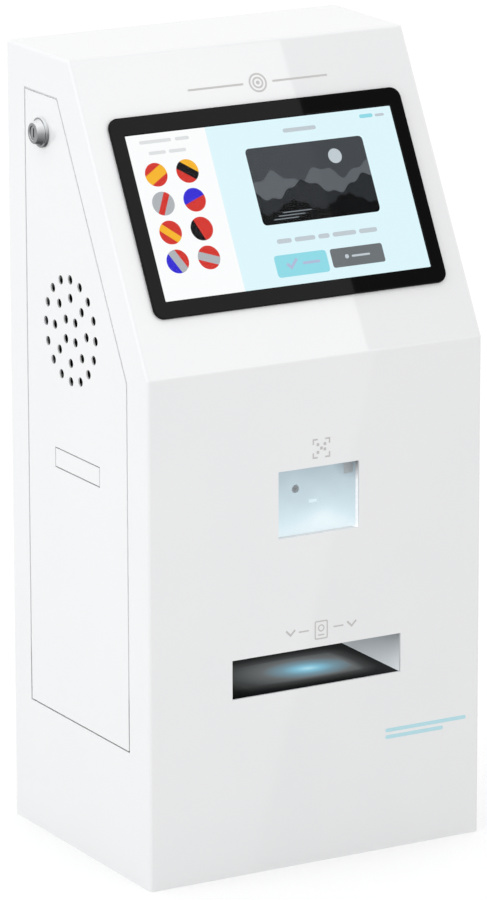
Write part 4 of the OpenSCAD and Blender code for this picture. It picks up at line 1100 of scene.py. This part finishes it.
dress(smoked_glass(), "pocket_glass")
dress(lit_liner(), "pocket_liner")
dress(screen_light("reader_light_plate", (150, 200, 220), READER_LIGHT), "reader_light")
print("pocket glass glows")

# %% [markdown]
# Signs on the paint tell what each device is for, in plain pictures: rings for touch, a framed block of
# squares for the code reader, and a booklet for the passport. They are screen-printed in grey, so each is a
# very thin film on the paint, a little uneven in tone as ink is. Decals would need images; curves of film
# thickness stay sharp and stand on the paint as ink does.

# %% Printed inks
INK_FILM_MM = 0.03
INK_TONE_MM = 3.0
INK_DARK = 0.94
INK_GRAIN_MM = 0.5


def ink(name, colour):
    finish = new_finish(name, Roughness=0.55)
    tone = noise(finish, INK_TONE_MM, detail=3.0)
    feed(finish, blend_by(finish, tone, shade(colour, INK_DARK), colour), "Base Color")
    bump(finish, noise(finish, INK_GRAIN_MM), height_mm=0.02, strength=0.15)
    return finish


def face_shift(face, x_mm, rise_mm):
    """The same face with its zero elsewhere: across from the part's middle, and up from the face's foot."""
    foot = face.middle - face.up * face.height / 2
    return face._replace(middle=foot + face.across * x_mm * MM + face.up * rise_mm * MM)


def printed(name, shapes, place, finish):
    flat_piece(name, shapes, place, 0.0, INK_FILM_MM, finish)
    print("printed", name)


GREY_INK = ink("sign_grey_ink", (0.58, 0.57, 0.56))
CYAN_INK = ink("accent_cyan_ink", (0.5, 0.79, 0.86))
print("made two inks")

# %% [markdown]
# Each sign is drawn round its own zero, in millimetres, and placed by how far it stands to the right of the
# part's middle and above the foot of its face. The arrows and dashes beside the booklet come in pairs, so one
# loop draws both sides. Two cyan bars at the lower right are the only colour on the paint.

# %% Printed signs
TOUCH_AT = (9.5, 243.0)
TOUCH_RINGS = (8.6, 7.0, 5.2, 3.6, 1.8)
TOUCH_RULES = [(-68, -14, 0, 1.8), (14, 68, 0, 1.8)]
CODE_AT = (4.0, 366.0)
CODE_HALF, CODE_STROKE, CODE_STROKE_W = 8.6, 5.0, 1.4
CODE_SQUARES = [(-3.4, 3.4), (0, 0), (3.4, 3.4), (-3.4, -3.4), (3.4, -1.2)]
CODE_SQUARE, CODE_SQUARE_R = 2.6, 0.3
PASSPORT_AT = (4.0, 206.5)
BOOKLET = [(0, 0, 13.0, 16.5, 1.6), (0, 0, 10.6, 14.1, 0.8)]
BOOKLET_RING = [(0, 1.6, 3.2), (0, 1.6, 2.1)]
BOOKLET_LINE = (-3.2, 3.2, -4.4, 1.2)
ARROW_U = 30
ARROW = [(-5, 3), (-3.8, 4.2), (0, 0.4), (3.8, 4.2), (5, 3), (0, -2)]
DASH_FROM, DASH_TO, DASH_V, DASH_H = 12, 22, 1, 1.3
ACCENTS = [(68, 149, 106.5, 3.4), (68, 126, 100.5, 3.4)]


def corner_mark(side_u, side_v):
    """One corner of the code sign's frame, as an angle of two strokes."""
    u, v = side_u * CODE_HALF, side_v * CODE_HALF
    inner_u, inner_v = u - side_u * CODE_STROKE_W, v - side_v * CODE_STROKE_W
    end_u, end_v = u - side_u * CODE_STROKE, v - side_v * CODE_STROKE
    return [(u, v), (end_u, v), (end_u, inner_v), (inner_u, inner_v), (inner_u, end_v), (u, end_v)]


def touch_sign():
    shapes = [disc(0, 0, r) for r in TOUCH_RINGS] + [bar(*rule) for rule in TOUCH_RULES]
    printed("touch_sign", shapes, face_shift(SLOPE_FACE, *TOUCH_AT), GREY_INK)


def code_sign():
    shapes = [corner_mark(a, b) for a in (-1, 1) for b in (-1, 1)]
    shapes += [rounded_box(u, v, CODE_SQUARE, CODE_SQUARE, CODE_SQUARE_R) for u, v in CODE_SQUARES]
    printed("code_sign", shapes, face_shift(FRONT_FACE, *CODE_AT), GREY_INK)


def passport_sign():
    shapes = [rounded_box(*edge) for edge in BOOKLET] + [disc(*ring) for ring in BOOKLET_RING]
    shapes.append(bar(*BOOKLET_LINE))
    for side in (-1, 1):
        shapes.append([(side * ARROW_U + u, v) for u, v in ARROW])
        shapes.append(bar(*sorted((side * DASH_FROM, side * DASH_TO)), DASH_V, DASH_H))
    printed("passport_sign", shapes, face_shift(FRONT_FACE, *PASSPORT_AT), GREY_INK)


def accent_bars():
    shapes = [bar(*accent) for accent in ACCENTS]
    printed("accent_bars", shapes, face_shift(FRONT_FACE, 0, 0), CYAN_INK)


touch_sign()
code_sign()
passport_sign()
accent_bars()

# %% [markdown]
# Last, a line in the log marks the end of the script.


print("scene dressed")
